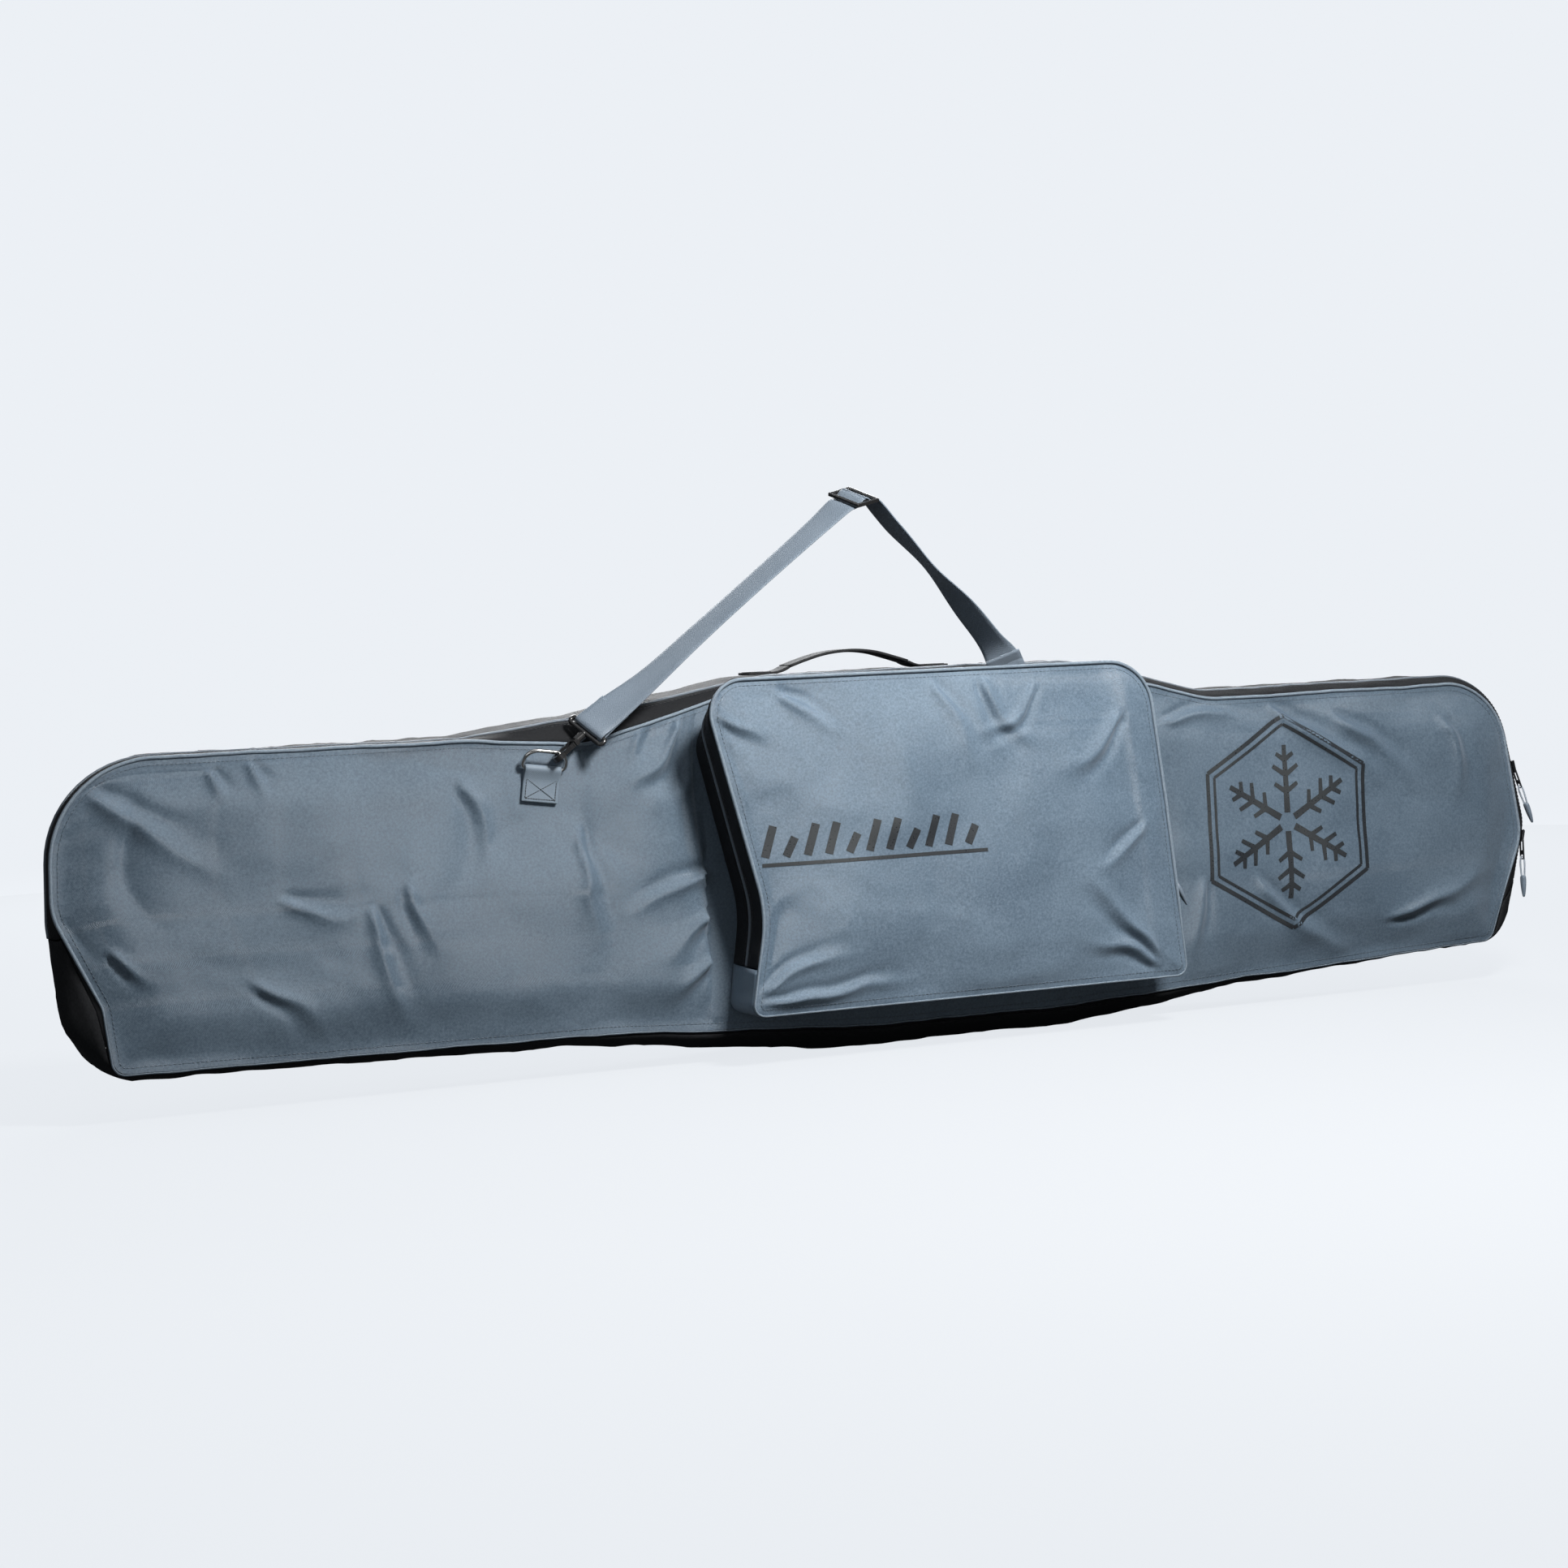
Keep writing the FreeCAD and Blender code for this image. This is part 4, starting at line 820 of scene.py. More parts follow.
SLIDERS = {
    "main_slider_upper": zip_frame(bag_section, ZIP_Y, 6, 0.55),
    "main_slider_lower": zip_frame(bag_section, ZIP_Y, 5, 0.90),
    "pocket_slider": zip_frame(pocket_section, POCKET_ZIP_Y, 0, 0.78),
}


def pull_place(name):
    """A pull's pivot, its way down, its way out and its way across, in millimetres."""
    origin, out, up = SLIDERS[name]
    pivot = origin + out * PIVOT_OUT + up * PIVOT_DROP
    tilt = math.radians(PULL_TILTS[name])
    down = out * math.sin(tilt) - up * math.cos(tilt)
    away = (out - down * out.dot(down)).normalized()
    return pivot, down, away, down.cross(away)


for name, pull_body in PULLS.items():
    pivot, down, away, across = pull_place(name)
    hole = pivot + down * HOLE_DROP
    route = [(hole + away * out + across * side + down * drop) * MM for out, side, drop in CORD_ROUTE]
    curve = bpy.data.curves.new(name + "_braid", "CURVE")
    curve.dimensions = "3D"
    curve.bevel_depth = 1.0 * MM
    curve.bevel_resolution = 4
    curve.resolution_u = 12
    spline = curve.splines.new("NURBS")
    spline.points.add(len(route) - 1)
    for point, place_at in zip(spline.points, route):
        point.co = (*place_at, 1)
    spline.order_u = 3
    spline.use_endpoint_u = True
    cord = bpy.data.objects.new(name + "_braid", curve)
    bpy.context.scene.collection.objects.link(cord)
    cord.data.materials.append(CORD)
    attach(cord, pull_body)
    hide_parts(name + "_cord")
    tuple(route[0])

    cosine, sine = [wave(np.arange(GRIP_SIDES) * TAU / GRIP_SIDES) for wave in (np.cos, np.sin)]
    out, side = [(np.sign(wave) * np.abs(wave) ** 0.75)[:, None] for wave in (cosine, sine)]
    grip = []
    for drop, half_out, half_across in GRIP_LEVELS:
        spokes = out * half_out * np.array(away) + side * half_across * np.array(across)
        grip.append(np.array(pivot + down * (GRIP_DROP + drop)) + spokes)
    piece = mesh_object(name + "_grip", np.concatenate(grip), tube_faces(len(grip), GRIP_SIDES))
    dress(piece, GRIP, pull_body, "pull_end", (name + "_end",))
    subdivide = piece.modifiers.new("round", "SUBSURF")
    subdivide.levels = subdivide.render_levels = 1


# ---------------------------------------------------------------- hardware places
def basis(z_way, x_way):
    """Axes with Z along one way and X as near another as possible."""
    z = Vector(z_way).normalized()
    x = Vector(x_way)
    x = (x - z * x.dot(z)).normalized()
    return x, z.cross(x), z


RINGS = {
    "left": (Vector((-347, -32.2, 299)), math.radians(-8)),
    "right": (Vector((182, -32.2, 310)), math.radians(-3)),
}
LEAN = math.radians(31)
RING_HALF = 22
RING_RISE = 20
RING_WIRE = 2.0
RING_CONTACT = {"left": (12, -0.9, 16.2), "right": (-9, 0, 17.2)}
HOOK_WAYS = {"left": Vector((0.79, 0.03, 0.60)), "right": Vector((-0.50, -0.28, 0.80))}
EYE_WAYS = {"left": Vector((26, -24, -13)), "right": Vector((28, -14, 8))}
HOOK_BEND = 31
WIRE_DROP = 7.5 - 3.6 - RING_WIRE - 1.15
EYE_WIRE = 2.2
EYE_HALF = 21.5
EYE_RISE = 7


def ring_axes(side):
    centre, tilt = RINGS[side]
    bar = Vector((math.cos(tilt), 0, math.sin(tilt)))
    rise = Vector((-math.sin(tilt) * math.cos(LEAN), -math.sin(LEAN), math.cos(tilt) * math.cos(LEAN)))
    return centre, basis(rise, bar)


def hook_axes(side):
    centre, (x, y, z) = ring_axes(side)
    along, out, up = RING_CONTACT[side]
    contact = centre + x * along + y * out + z * up
    way = HOOK_WAYS[side].normalized()
    return contact + way * (HOOK_BEND + WIRE_DROP), basis(way, Vector((0, 1, 0)).cross(way))


def eye_axes(side):
    origin, (x, y, z) = hook_axes(side)
    return origin, basis(z, EYE_WAYS[side])


def rounded_loop(half, low, high, pull_in, radii, step, origin, axes):
    """A closed rounded trapezium of points in the plane of the first and last axes."""
    outline = [(-half, low, radii[0]), (half, low, radii[0])]
    outline += [(half - pull_in, high, radii[1]), (-half + pull_in, high, radii[1])]
    flat = ring(outline)
    flat = even(flat, int(line_length(flat) / step) + 1)[:-1]
    return np.array(origin) + flat[:, :1] * np.array(axes[0]) + flat[:, 1:] * np.array(axes[2])


EYE_LOW = EYE_WIRE + 0.5
for side in RINGS:
    centre, axes = ring_axes(side)
    path = rounded_loop(RING_HALF, 0, RING_RISE, 2, (5, 13), 0.8, centre, axes)
    piece = sweep("dring_wire_" + side, path, RING_WIRE, sides=20, closed=True, side_way=axes[1])
    dress(piece, STEEL, "dring_" + side, "steel", ("dring_" + side,))

    origin, axes = eye_axes(side)
    path = rounded_loop(EYE_HALF, EYE_LOW, EYE_LOW + EYE_RISE, 0, (3.2, 3.2), 0.6, origin, axes)
    eye = sweep("eye_wire_" + side, path, EYE_WIRE, sides=18, closed=True, side_way=axes[1])
    post_path = [np.array(origin + axes[2] * along) for along in (-6.6, -6.4, 0.2, 1.2, 2.4)]
    post = sweep("eye_post_" + side, post_path, (1.7, 2.0, 2.0, 3.2, 3.2), sides=20, side_way=axes[1])
    for piece in (eye, post):
        dress(piece, HOOK_BLACK, "strap", "hook_black", ("hook_eye_" + side,))


# ---------------------------------------------------------------- strap and handle
APEX = Vector((-11, -38, 550))
APEX_ACROSS = Vector((10, -34, -12))
APEX_ALONG = Vector((0.95, 0.20, 0.22))
APEX_AXES = basis(APEX_ALONG.cross(APEX_ACROSS), APEX_ALONG)
STRAP_ROUTES = {
    "left": [
        ((-239, -38, 379), (5, -33, -16)),
        ((-180, -38, 425), (-2, -34, -15)),
        ((-112, -38, 477), (-1, -34, -13)),
        ((-50, -38, 524), (4, -34, -12)),
    ],
    "right": [
        ((131, -50, 399), (9, -31, 12)),
        ((104, -45, 436), (1, -34, 14)),
        ((69, -40, 478), (-12, -35, 6)),
        ((31, -38, 519), (-4, -35, 6)),
    ],
}


def apex_point(along, rise):
    x, y, z = APEX_AXES
    return APEX + x * along + z * rise


def strap_stations(side):
    """From the folded-back end, round the eye's bar, along the route and half through the adjuster."""
    origin, (x, y, z) = eye_axes(side)
    bar = origin + z * (EYE_LOW + EYE_RISE)
    face = y if y.y < 0 else -y
    around = EYE_WIRE + 0.1 + 0.8
    stations = []
    for along, out in ((34, -1.35), (20, -1.5), (9, -2.2), (2.2, -around)):
        stations.append((bar + z * along + face * out, x))
    for angle in (-150, -110, -70, -30):
        turn = math.radians(angle)
        stations.append((bar + z * math.sin(turn) * around + face * math.cos(turn) * around, x))
    for along, out in ((2.2, around), (9, 2.0), (18, 0.9)):
        stations.append((bar + z * along + face * out, x))
    stations += [(Vector(point), Vector(across)) for point, across in STRAP_ROUTES[side]]
    sign = -1 if side == "left" else 1
    for along, rise in ((15.5, 3.5), (10.4, 3.4), (1.7, -3.4), (0.2, -3.4)):
        stations.append((apex_point(sign * along, rise), APEX_ACROSS))
    return stations


for side in RINGS:
    web, length = ribbon("strap_web_" + side, strap_stations(side), 36, 1.6, cup=0.5)
    dress(web, STRAP, "strap", "strap_webbing", ("strap_webbing_" + side,))


TAB_TOP = -10
# The folded tab from the lower end of its back, over the ring's bar, down its front: (depth, rise).
TAB_SECTION = [(1.3, -31.5), (1.25, -20), (0.7, -11), (-0.9, -6.0)]
for angle in (205, 170, 130, 90, 50, 10):
    TAB_SECTION.append((3.15 * math.cos(math.radians(angle)), 3.15 * math.sin(math.radians(angle))))
TAB_SECTION += [(3.1, -4), (3.1, -18), (3.1, -31.5)]
for side, (centre, tilt) in RINGS.items():
    x = Vector((math.cos(tilt), 0, math.sin(tilt)))
    z = Vector((-math.sin(tilt), 0, math.cos(tilt)))
    stations = [(centre + Vector((0, depth, 0)) + z * rise, x) for depth, rise in TAB_SECTION]
    tab, length = ribbon("dring_tab_web_" + side, stations, 36, 1.55, step=1.2)
    dress(tab, TAB_WEB, "front_lid", "strap_webbing", ("dring_tab_" + side,))

    def on_tab(along, rise):
        depth = 0.10 if rise == TAB_TOP else 0.35
        return np.array(centre + x * along + z * rise + Vector((0, depth, 0)))

    name = "dring_tab_thread_" + side
    box_stitches(name, (-15, TAB_TOP), (15, -28.5), on_tab, 2.6, 2.0, 0.42, "front_lid", "strap_webbing")


HANDLE_Y = 45
HUMP = 378


def handle_web(name, line, thickness, step, body, node):
    """Webbing laid along the top of the bag through points (x, rise); its length in metres."""
    stations = [(Vector((x, HANDLE_Y, HUMP + rise)), Vector((0, 1, 0))) for x, rise in line]
    web, length = ribbon(name, stations, 28, thickness, step=step, cup=0.6 if body == "handle" else 0.0)
    return dress(web, HANDLE, body, "handle_webbing", (node,)), length


arch = [(-56, 7.0), (-40, 12), (-16, 18), (12, 20.5), (38, 18), (60, 12), (76, 7.0)]
loop_web, length = handle_web("handle_loop", arch, 3.0, 3.0, "handle", "handle_webbing")
for side, foot, way in (("left", -56, -1), ("right", 76, 1)):
    rises = [(foot + way * 1.2, 6.6), (foot + way * 8, 3.6), (foot + way * 17, 1.8), (foot + way * 46, 1.6)]
    handle_web("handle_foot_" + side, rises, 2.6, 2.0, "shell", "handle_anchor_" + side)

    def on_foot(x, y):
        return x, HANDLE_Y + y, HUMP + 3.05

    near, far = (foot + way * 21, -11), (foot + way * 43, 11)
    name = "handle_thread_" + side
    box_stitches(name, near, far, on_foot, 2.8, 2.1, 0.38, "shell", "handle_webbing", turn=-1)


# ---------------------------------------------------------------- front panel
FRONT_FOLDS = [
    ([(-667, 321), (-660, 303), (-650, 280)], 7, 7, 1),
    ([(-633, 324), (-624, 307), (-608, 284)], 7, 7, 1),
    ([(-783, 308), (-711, 253), (-647, 211)], 8, 15, 1),
    ([(-730, 294), (-748, 226), (-694, 149)], -7, 17, 0),
    ([(-813, 195), (-788, 157), (-770, 112)], 5, 8, 1),
    ([(-766, 162), (-742, 142), (-717, 125)], 5, 8, -1),
    ([(-523, 187), (-510, 126), (-487, 48)], 6, 12, 1),
    ([(-487, 207), (-470, 153), (-456, 114)], 5, 11, -1),
    ([(-610, 194), (-550, 174), (-511, 179)], 5, 12, 1),
    ([(-315, 249), (-307, 179), (-299, 100)], 6, 13, 1),
    ([(-152, 171), (-187, 146), (-238, 98)], 9, 9, 1),
    ([(-150, 121), (-181, 106), (-236, 62)], 9, 9, 1),
    ([(-155, 199), (-203, 183), (-282, 150)], 8, 10, -1),
    ([(-270, 348), (-277, 334), (-284, 318)], 7, 7, 1),
    ([(-237, 349), (-246, 325), (-262, 296)], 9, 8, 1),
    ([(-203, 348), (-222, 306), (-273, 272)], 10, 10, 1),
    ([(-187, 328), (-198, 281), (-222, 250)], 9, 10, -1),
    ([(335, 310), (405, 315), (465, 294)], 6, 10, 1),
    ([(466, 320), (567, 263), (640, 215)], 8, 13, 1),
    ([(548, 308), (630, 251), (671, 204)], 7, 12, 1),
    ([(378, 145), (370, 94), (363, 43)], 6, 11, 1),
    ([(438, 141), (497, 84), (590, 41)], 7, 12, 1),
    ([(602, 84), (689, 105), (778, 134)], 6, 12, -1),
    ([(-640, 120), (-585, 90), (-560, 52)], 5, 13, -1),
    ([(-430, 300), (-405, 235), (-415, 170)], 5, 14, -1),
    ([(690, 300), (712, 240), (700, 190)], 6, 14, 1),
]
POCKET_FOLDS = [
    ([(-132, 364), (-99, 339), (-57, 310)], 6, 9, 1),
    ([(34, 373), (59, 332), (83, 267)], 5, 10, 1),
    ([(92, 370), (113, 329), (157, 286)], 6, 10, -1),
    ([(155, 359), (131, 328), (58, 312)], 5, 9, 1),
    ([(252, 330), (212, 283), (165, 262)], 7, 11, 1),
    ([(-167, 68), (-110, 98), (-40, 108)], 6, 9, 1),
    ([(-167, 68), (-142, 147), (-106, 184)], 5, 9, -1),
    ([(-163, 64), (-77, 68), (29, 78)], 6, 8, 1),
    ([(289, 72), (234, 126), (189, 179)], 7, 10, 1),
    ([(288, 64), (251, 84), (176, 98)], 6, 9, 1),
    ([(276, 214), (236, 176), (198, 166)], 5, 10, -1),
    ([(-197, 329), (-178, 282), (-163, 242)], 5, 8, 1),
    ([(-200, 344), (-159, 327), (-134, 310)], 5, 8, -1),
]


# The corners of the front and back outlines that a grid's own corners go to.
PANEL_MARKS = (0, 5, 7, 13)
TAB_CENTRES = ((-349, 286), (181, 295))
TAB_REACH = 19
SEAM_INSET = 7.5
PAD_INSET = 14


def slack(x, z, size, seed):
    """Uneven tension of sewn cloth: soft billows of several sizes."""
    bend_x = x + 22 * perlin(x / 90, z / 90, seed + 5)
    bend_z = z + 22 * perlin(x / 90, z / 90, seed + 6)
    wide = perlin(bend_x / size, bend_z / size, seed)
    middle = perlin(bend_x / (size * 0.55), bend_z / (size * 0.45), seed + 1)
    small = perlin(bend_x / (size * 0.24), bend_z / (size * 0.2), seed + 2)
    return wide + 0.30 * middle + 0.10 * small


def front_depth(x, z):
    """How far the front panel stands forward of its seam."""
    edge = edge_distance(x, z, ring(FRONT))
    pocket_line = ring(POCKET_REAR)
    beside = edge_distance(x, z, pocket_line)
    under = (x > -185) & (x < 305) & (z < 356) & (z > 44)
    beside = np.where(under, 0, beside)
    free = fade(edge, 0, 55) * fade(beside, 2, 60)
    loose = fade(edge, 1, 16) * fade(beside, 3, 26)
    for centre_x, centre_z in TAB_CENTRES:
        gap = np.maximum(np.abs(x - centre_x) - TAB_REACH, np.abs(z - centre_z) - TAB_REACH)
        free = free * fade(gap, 0, 95)
        loose = loose * fade(gap, 0, 24)
    height = 9.5 * free + loose * (0.95 * folds(x, z, FRONT_FOLDS) + 4.6 * slack(x, z, 140, 21))
    return np.maximum(height, -1.0)


def pocket_depth(x, z):
    """How far the pocket's front stands forward of its seam."""
    edge = edge_distance(x, z, ring(POCKET_FRONT))
    share = np.clip(edge / 110, 0, 1)
    crown = 12 * (1 - (1 - share) ** 2)
    loose = fade(edge, 1, 18)
    return crown + loose * (0.95 * folds(x, z, POCKET_FOLDS) + 3.6 * slack(x, z, 110, 33))


def flat_grid(corners, marks, step):
    """A grid filling an outline, its own corners at the middles of four of the outline's arcs."""
    points = ring(corners)
    width, height = points.max(axis=0) - points.min(axis=0)
    middles = [corner_arc(corners, mark, 15)[7] for mark in marks]
    grid = coons(points, middles, int(width / step), max(int(height / step), 8))
    return grid[..., 0], grid[..., 1]


def surface_tree(points):
    """A search tree over a grid of points, in millimetres."""
    faces = grid_faces(grid_index(*points.shape[:2]))
    return BVHTree.FromPolygons([Vector(p) for p in points.reshape(-1, 3)], faces.tolist())


def outer_panel(name, points, facing, material, body, slot, node):
    """A panel of stretched cloth with its own look, and a search tree over its outer face."""
    piece = sheet_mesh(name, points, 1.3, (0, facing, 0))
    dress(piece, material, body, slot, (node,))
    return surface_tree(points)


x, z = flat_grid(FRONT, PANEL_MARKS, 3.2)
points = seam_sway(np.stack([x, FRONT_Y - front_depth(x, z), z], axis=2))
# The front panel wears the slate cloth painted darker, as painted shade.
front_tree = outer_panel(
    "front_cloth", points, -1, SHADED_PANEL_CLOTH, "front_lid", "front_cloth", "front_panel"
)

x, z = flat_grid(POCKET_FRONT, (5, 0, 2, 3), 2.8)
points = np.stack([x, POCKET_Y + 0.6 - pocket_depth(x, z), z], axis=2)
pocket_tree = outer_panel(
    "pocket_cloth", points, -1, SLATE, "pocket_flap", "front_cloth", "pocket_front"
)


def laid_on(tree, x, z, lift):
    """The point of a panel's outer face at (x, z), lifted forward."""
    hit = tree.ray_cast(Vector((x, -400, z)), Vector((0, 1, 0)))[0]
    return x, hit.y - lift, z


for name, tree, outline, body in (
    ("front_seam_stitches", front_tree, inset(FRONT, SEAM_INSET), "front_lid"),
    ("pocket_seam_stitches", pocket_tree, inset(POCKET_FRONT, SEAM_INSET), "pocket_flap"),
):
    points = even(ring(outline), int(line_length(ring(outline)) / 3))
    dress(stitches(name, [laid_on(tree, *point, 0.15) for point in points]), THREAD, body, "front_cloth")


# ---------------------------------------------------------------- seams, bands, zips and gussets
BACK = bag_section(BACK_Y)
POCKET_SEAM = inset(POCKET_FRONT, 1.2)
for name, corners, y, radius, material, body, slot, node in (
    ("front_pipe", inset(FRONT, 1.2), FRONT_Y - 0.3, 1.7, PIPING, "front_lid", "piping", "front_piping"),
    ("pocket_pipe", POCKET_SEAM, POCKET_Y - 0.8, 1.7, PIPING, "pocket_flap", "piping", "pocket_piping"),
    ("back_pipe", inset(BACK, 1.6), BACK_Y + 1.0, 2.0, BLACK_PIPING, "shell", "back_piping", "back_piping"),
):
    points = even(ring(corners), int(line_length(ring(corners)) / 4))[:-1]
    path = np.stack([points[:, 0], np.full(len(points), float(y)), points[:, 1]], axis=1)
    if body == "front_lid":
        path = seam_sway(path)
    drawn_in = fade(150 - path[:, 2], 0, 60)
    path[:, 1] -= math.copysign(0.9, y) * drawn_in
    pipe = sweep(name, path, radius * (1 - 0.45 * drawn_in), sides=12, closed=True)
    dress(pipe, material, body, slot, (node,))


def depth_rows(first, last, step):
    return np.linspace(first, last, max(int(round(abs(last - first) / step)) + 1, 3))


def beyond(place, share):
    """A place a little further along the same side of an outline."""
    return place[0], place[1] + share


ZIP = (ZIP_RIGHT, ZIP_LEFT)
BELOW_ZIP = (beyond(ZIP_LEFT, END_GAP), beyond(ZIP_RIGHT, -END_GAP))
POCKET_ZIP = (POCKET_ZIP_RIGHT, POCKET_ZIP_LEFT)
BELOW_POCKET_ZIP = (beyond(POCKET_ZIP_LEFT, END_GAP), beyond(POCKET_ZIP_RIGHT, -END_GAP))
RIGHT_SEAM = (7, 0.10)
LEFT_SEAM = (12, 0.85)
LEFT_BOTTOM_SEAM = (0, 0.12)
RIGHT_BOTTOM_SEAM = (4, 0.85)
BAND = (BLACK, "gusset_cloth", 0.0)
TAPE = (BLACK_TAPE, "zip_tape", 0.1)
BASE = (SLATE, "front_cloth", 0.0)


def cloth_strips(section, strips):
    """Strips of the bag's or pocket's side. Each is (name, first depth, last depth, row step, ends, look,
    body, node, height of its creases, seed), and a look is (material, slot, lift)."""
    for name, first, last, step, ends, look, body, node, amount, seed in strips:
        material, slot, lift = look
        points = strip_points(section, depth_rows(first, last, step), *ends, lift=lift)
        if amount:
            points = crumpled(points, amount, seed)
        dress(sheet_mesh(name, seam_sway(points), 1.2, outward_of), material, body, slot, (node,))


cloth_strips(bag_section, (
    ("band_front", -27.6, -12, 2.6, ZIP, BAND, "front_lid", "zip_band_front", 0.6, 41),
    ("zip_tape_front", -12, -7.4, 2, ZIP, TAPE, "front_lid", "main_zip_front_tape", 0, 0),
    ("zip_tape_rear", -6.6, -2, 2, ZIP, TAPE, "shell", "main_zip_rear_tape", 0, 0),
    ("band_rear", -2, 12, 2.6, ZIP, BAND, "shell", "zip_band_rear", 0.7, 43),
))

GUSSETS = [
    ("gusset_right_end", 12, ZIP_RIGHT, RIGHT_SEAM, 1.5, 51),
    ("gusset_top", 12, RIGHT_SEAM, LEFT_SEAM, 1.4, 52),
    ("gusset_left_end", 12, LEFT_SEAM, ZIP_LEFT, 1.5, 53),
    ("gusset_lower_left", -26, BELOW_ZIP[0], LEFT_BOTTOM_SEAM, 1.5, 54),
    ("gusset_bottom", -26, LEFT_BOTTOM_SEAM, RIGHT_BOTTOM_SEAM, 1.0, 55),
    ("gusset_lower_right", -26, RIGHT_BOTTOM_SEAM, BELOW_ZIP[1], 1.5, 56),
]
for node, first, start, end, amount, seed in GUSSETS:
    points = crumpled(strip_points(bag_section, depth_rows(first, 99, 4.5), start, end), amount, seed)
    points[..., 2] = np.maximum(points[..., 2], 0.4)
    if node == "gusset_top":
        # Flat under the grab handle.
        away = fade(np.abs(points[..., 0] - 10), 116, 150) + fade(np.abs(points[..., 1] - HANDLE_Y), 16, 30)
        away = np.clip(away, 0, 1)
        points[..., 2] = points[..., 2] * away + (HUMP - 0.3) * (1 - away)
    piece = sheet_mesh(node + "_cloth", seam_sway(points), 1.3, outward_of)
    dress(piece, BLACK, "shell", "gusset_cloth", (node,))


# Cloth that joins the bottom gusset to the front panel; on the real bag it folds out as the lid opens.
points = seam_sway(strip_points(bag_section, np.linspace(-25.6, -28.2, 13), *BELOW_ZIP, lift=-1.6))
lid_hinge = sheet_mesh("lid_hinge_cloth", points, 0.8, outward_of)
lid_hinge.data.materials.append(BLACK)
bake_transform(lid_hinge)


def rod_path(section, y, ends, lift):
    """A line along the zip at one depth, moved outward by lift."""
    return seam_sway(strip_points(section, [y], *ends, step=3.0, lift=lift)[0])


for name, section, y, ends, body in (
    ("coil_main_front", bag_section, ZIP_Y - 1.15, ZIP, "front_lid"),
    ("coil_main_rear", bag_section, ZIP_Y + 1.15, ZIP, "shell"),
    ("coil_pocket_front", pocket_section, POCKET_ZIP_Y - 1.15, POCKET_ZIP, "pocket_flap"),
    ("coil_pocket_rear", pocket_section, POCKET_ZIP_Y + 1.15, POCKET_ZIP, "front_lid"),
):
    dress(sweep(name, rod_path(section, y, ends, 0.35), 1.05), COIL, body, "zip_tape")

for name, section, y, ends, body in (
    ("band_front_stitches", bag_section, -14.5, ZIP, "front_lid"),
    ("band_rear_stitches", bag_section, 0.6, ZIP, "shell"),
    ("pocket_flap_stitches", pocket_section, -69.5, POCKET_ZIP, "pocket_flap"),
    ("pocket_base_stitches", pocket_section, -54.5, POCKET_ZIP, "front_lid"),
):
    dress(stitches(name, rod_path(section, y, ends, 0.3)), DARK_THREAD, body, "zip_tape")

cloth_strips(pocket_section, (
    ("pocket_side_front", -91.2, -67, 3.5, POCKET_ZIP, BAND, "pocket_flap", "pocket_gusset_front", 1.4, 61),
    ("pocket_tape_front", -67, -62.4, 2, POCKET_ZIP, TAPE, "pocket_flap", "pocket_zip_front_tape", 0, 0),
    ("pocket_tape_rear", -61.6, -57, 2, POCKET_ZIP, TAPE, "front_lid", "pocket_zip_rear_tape", 0, 0),
    ("pocket_side_rear", -57, -28.2, 3.5, POCKET_ZIP, BAND, "front_lid", "pocket_gusset_rear", 1.6, 62),
    ("pocket_base", -89.8, -28.2, 4, BELOW_POCKET_ZIP, BASE, "front_lid", "pocket_bottom_gusset", 1.4, 63),
))


# ---------------------------------------------------------------- back panel and padding
def quilted(x, z, pitch=46.0):
    """Height of diamond quilting: pillows between sewn lines."""
    a = np.abs(np.sin((x + z) / pitch * math.pi))
    b = np.abs(np.sin((x - z) / pitch * math.pi))
    return np.minimum(np.sqrt(a), 1) * np.minimum(np.sqrt(b), 1)


x, z = flat_grid(BACK, PANEL_MARKS, 6.0)
edge = edge_distance(x, z, ring(BACK))
bulge = 2.5 * fade(edge, 0, 60) + fade(edge, 2, 20) * (1.6 * slack(x, z, 130, 71) + 0.8 * slack(x, z, 60, 75))
points = np.stack([x, BACK_Y + np.maximum(bulge, -1.0), z], axis=2)
# The back panel wears the black cloth painted lighter, as painted light.
outer_panel("back_cloth", points, 1, BACK_CLOTH_PAINTED_LIGHTER, "shell", "gusset_cloth", "back_panel")


def padding(name, points, thickness, outward, body, nodes):
    piece = sheet_mesh(name, points, thickness, outward)
    dress(piece, LINING, body, "lining", nodes)


# Quilted foam pads: flat on the cloth, pillowed on their other face.
for name, corners, y, facing, body, nodes in (
    ("front_pad", inset(FRONT, PAD_INSET), FRONT_Y + 3.4, 1, "front_lid", ("front_foam", "front_lining")),
    ("back_pad", inset(BACK, PAD_INSET), BACK_Y - 4.6, -1, "shell", ("back_foam", "back_lining")),
):
    x, z = flat_grid(corners, PANEL_MARKS, 6.0)
    rise = (3.2 + 2.4 * quilted(x, z)) * np.sqrt(fade(edge_distance(x, z, ring(corners)), -2, 12))
    padding(name, np.stack([x, y + facing * rise, z], axis=2), 2.4, (0, facing, 0), body, nodes)

for name, ends, nodes in (
    ("gusset_pad_top", ZIP, ("gusset_foam_top", "gusset_lining")),
    ("gusset_pad_bottom", BELOW_ZIP, ("gusset_foam_bottom",)),
):
    rows = depth_rows(14.5, 89.5, 5)
    points = strip_points(bag_section, rows, *ends, step=6.0, lift=-4.0)
    pillow = quilted(np.broadcast_to(travel_of(points[0])[None], points.shape[:2]), points[..., 1])
    points = strip_points(bag_section, rows, *ends, step=6.0, lift=-3.6 - 3.2 * pillow)
    padding(name, points, -1.8, outward_of, "shell", nodes)


# ---------------------------------------------------------------- printed marks
FILM_STEP = 4


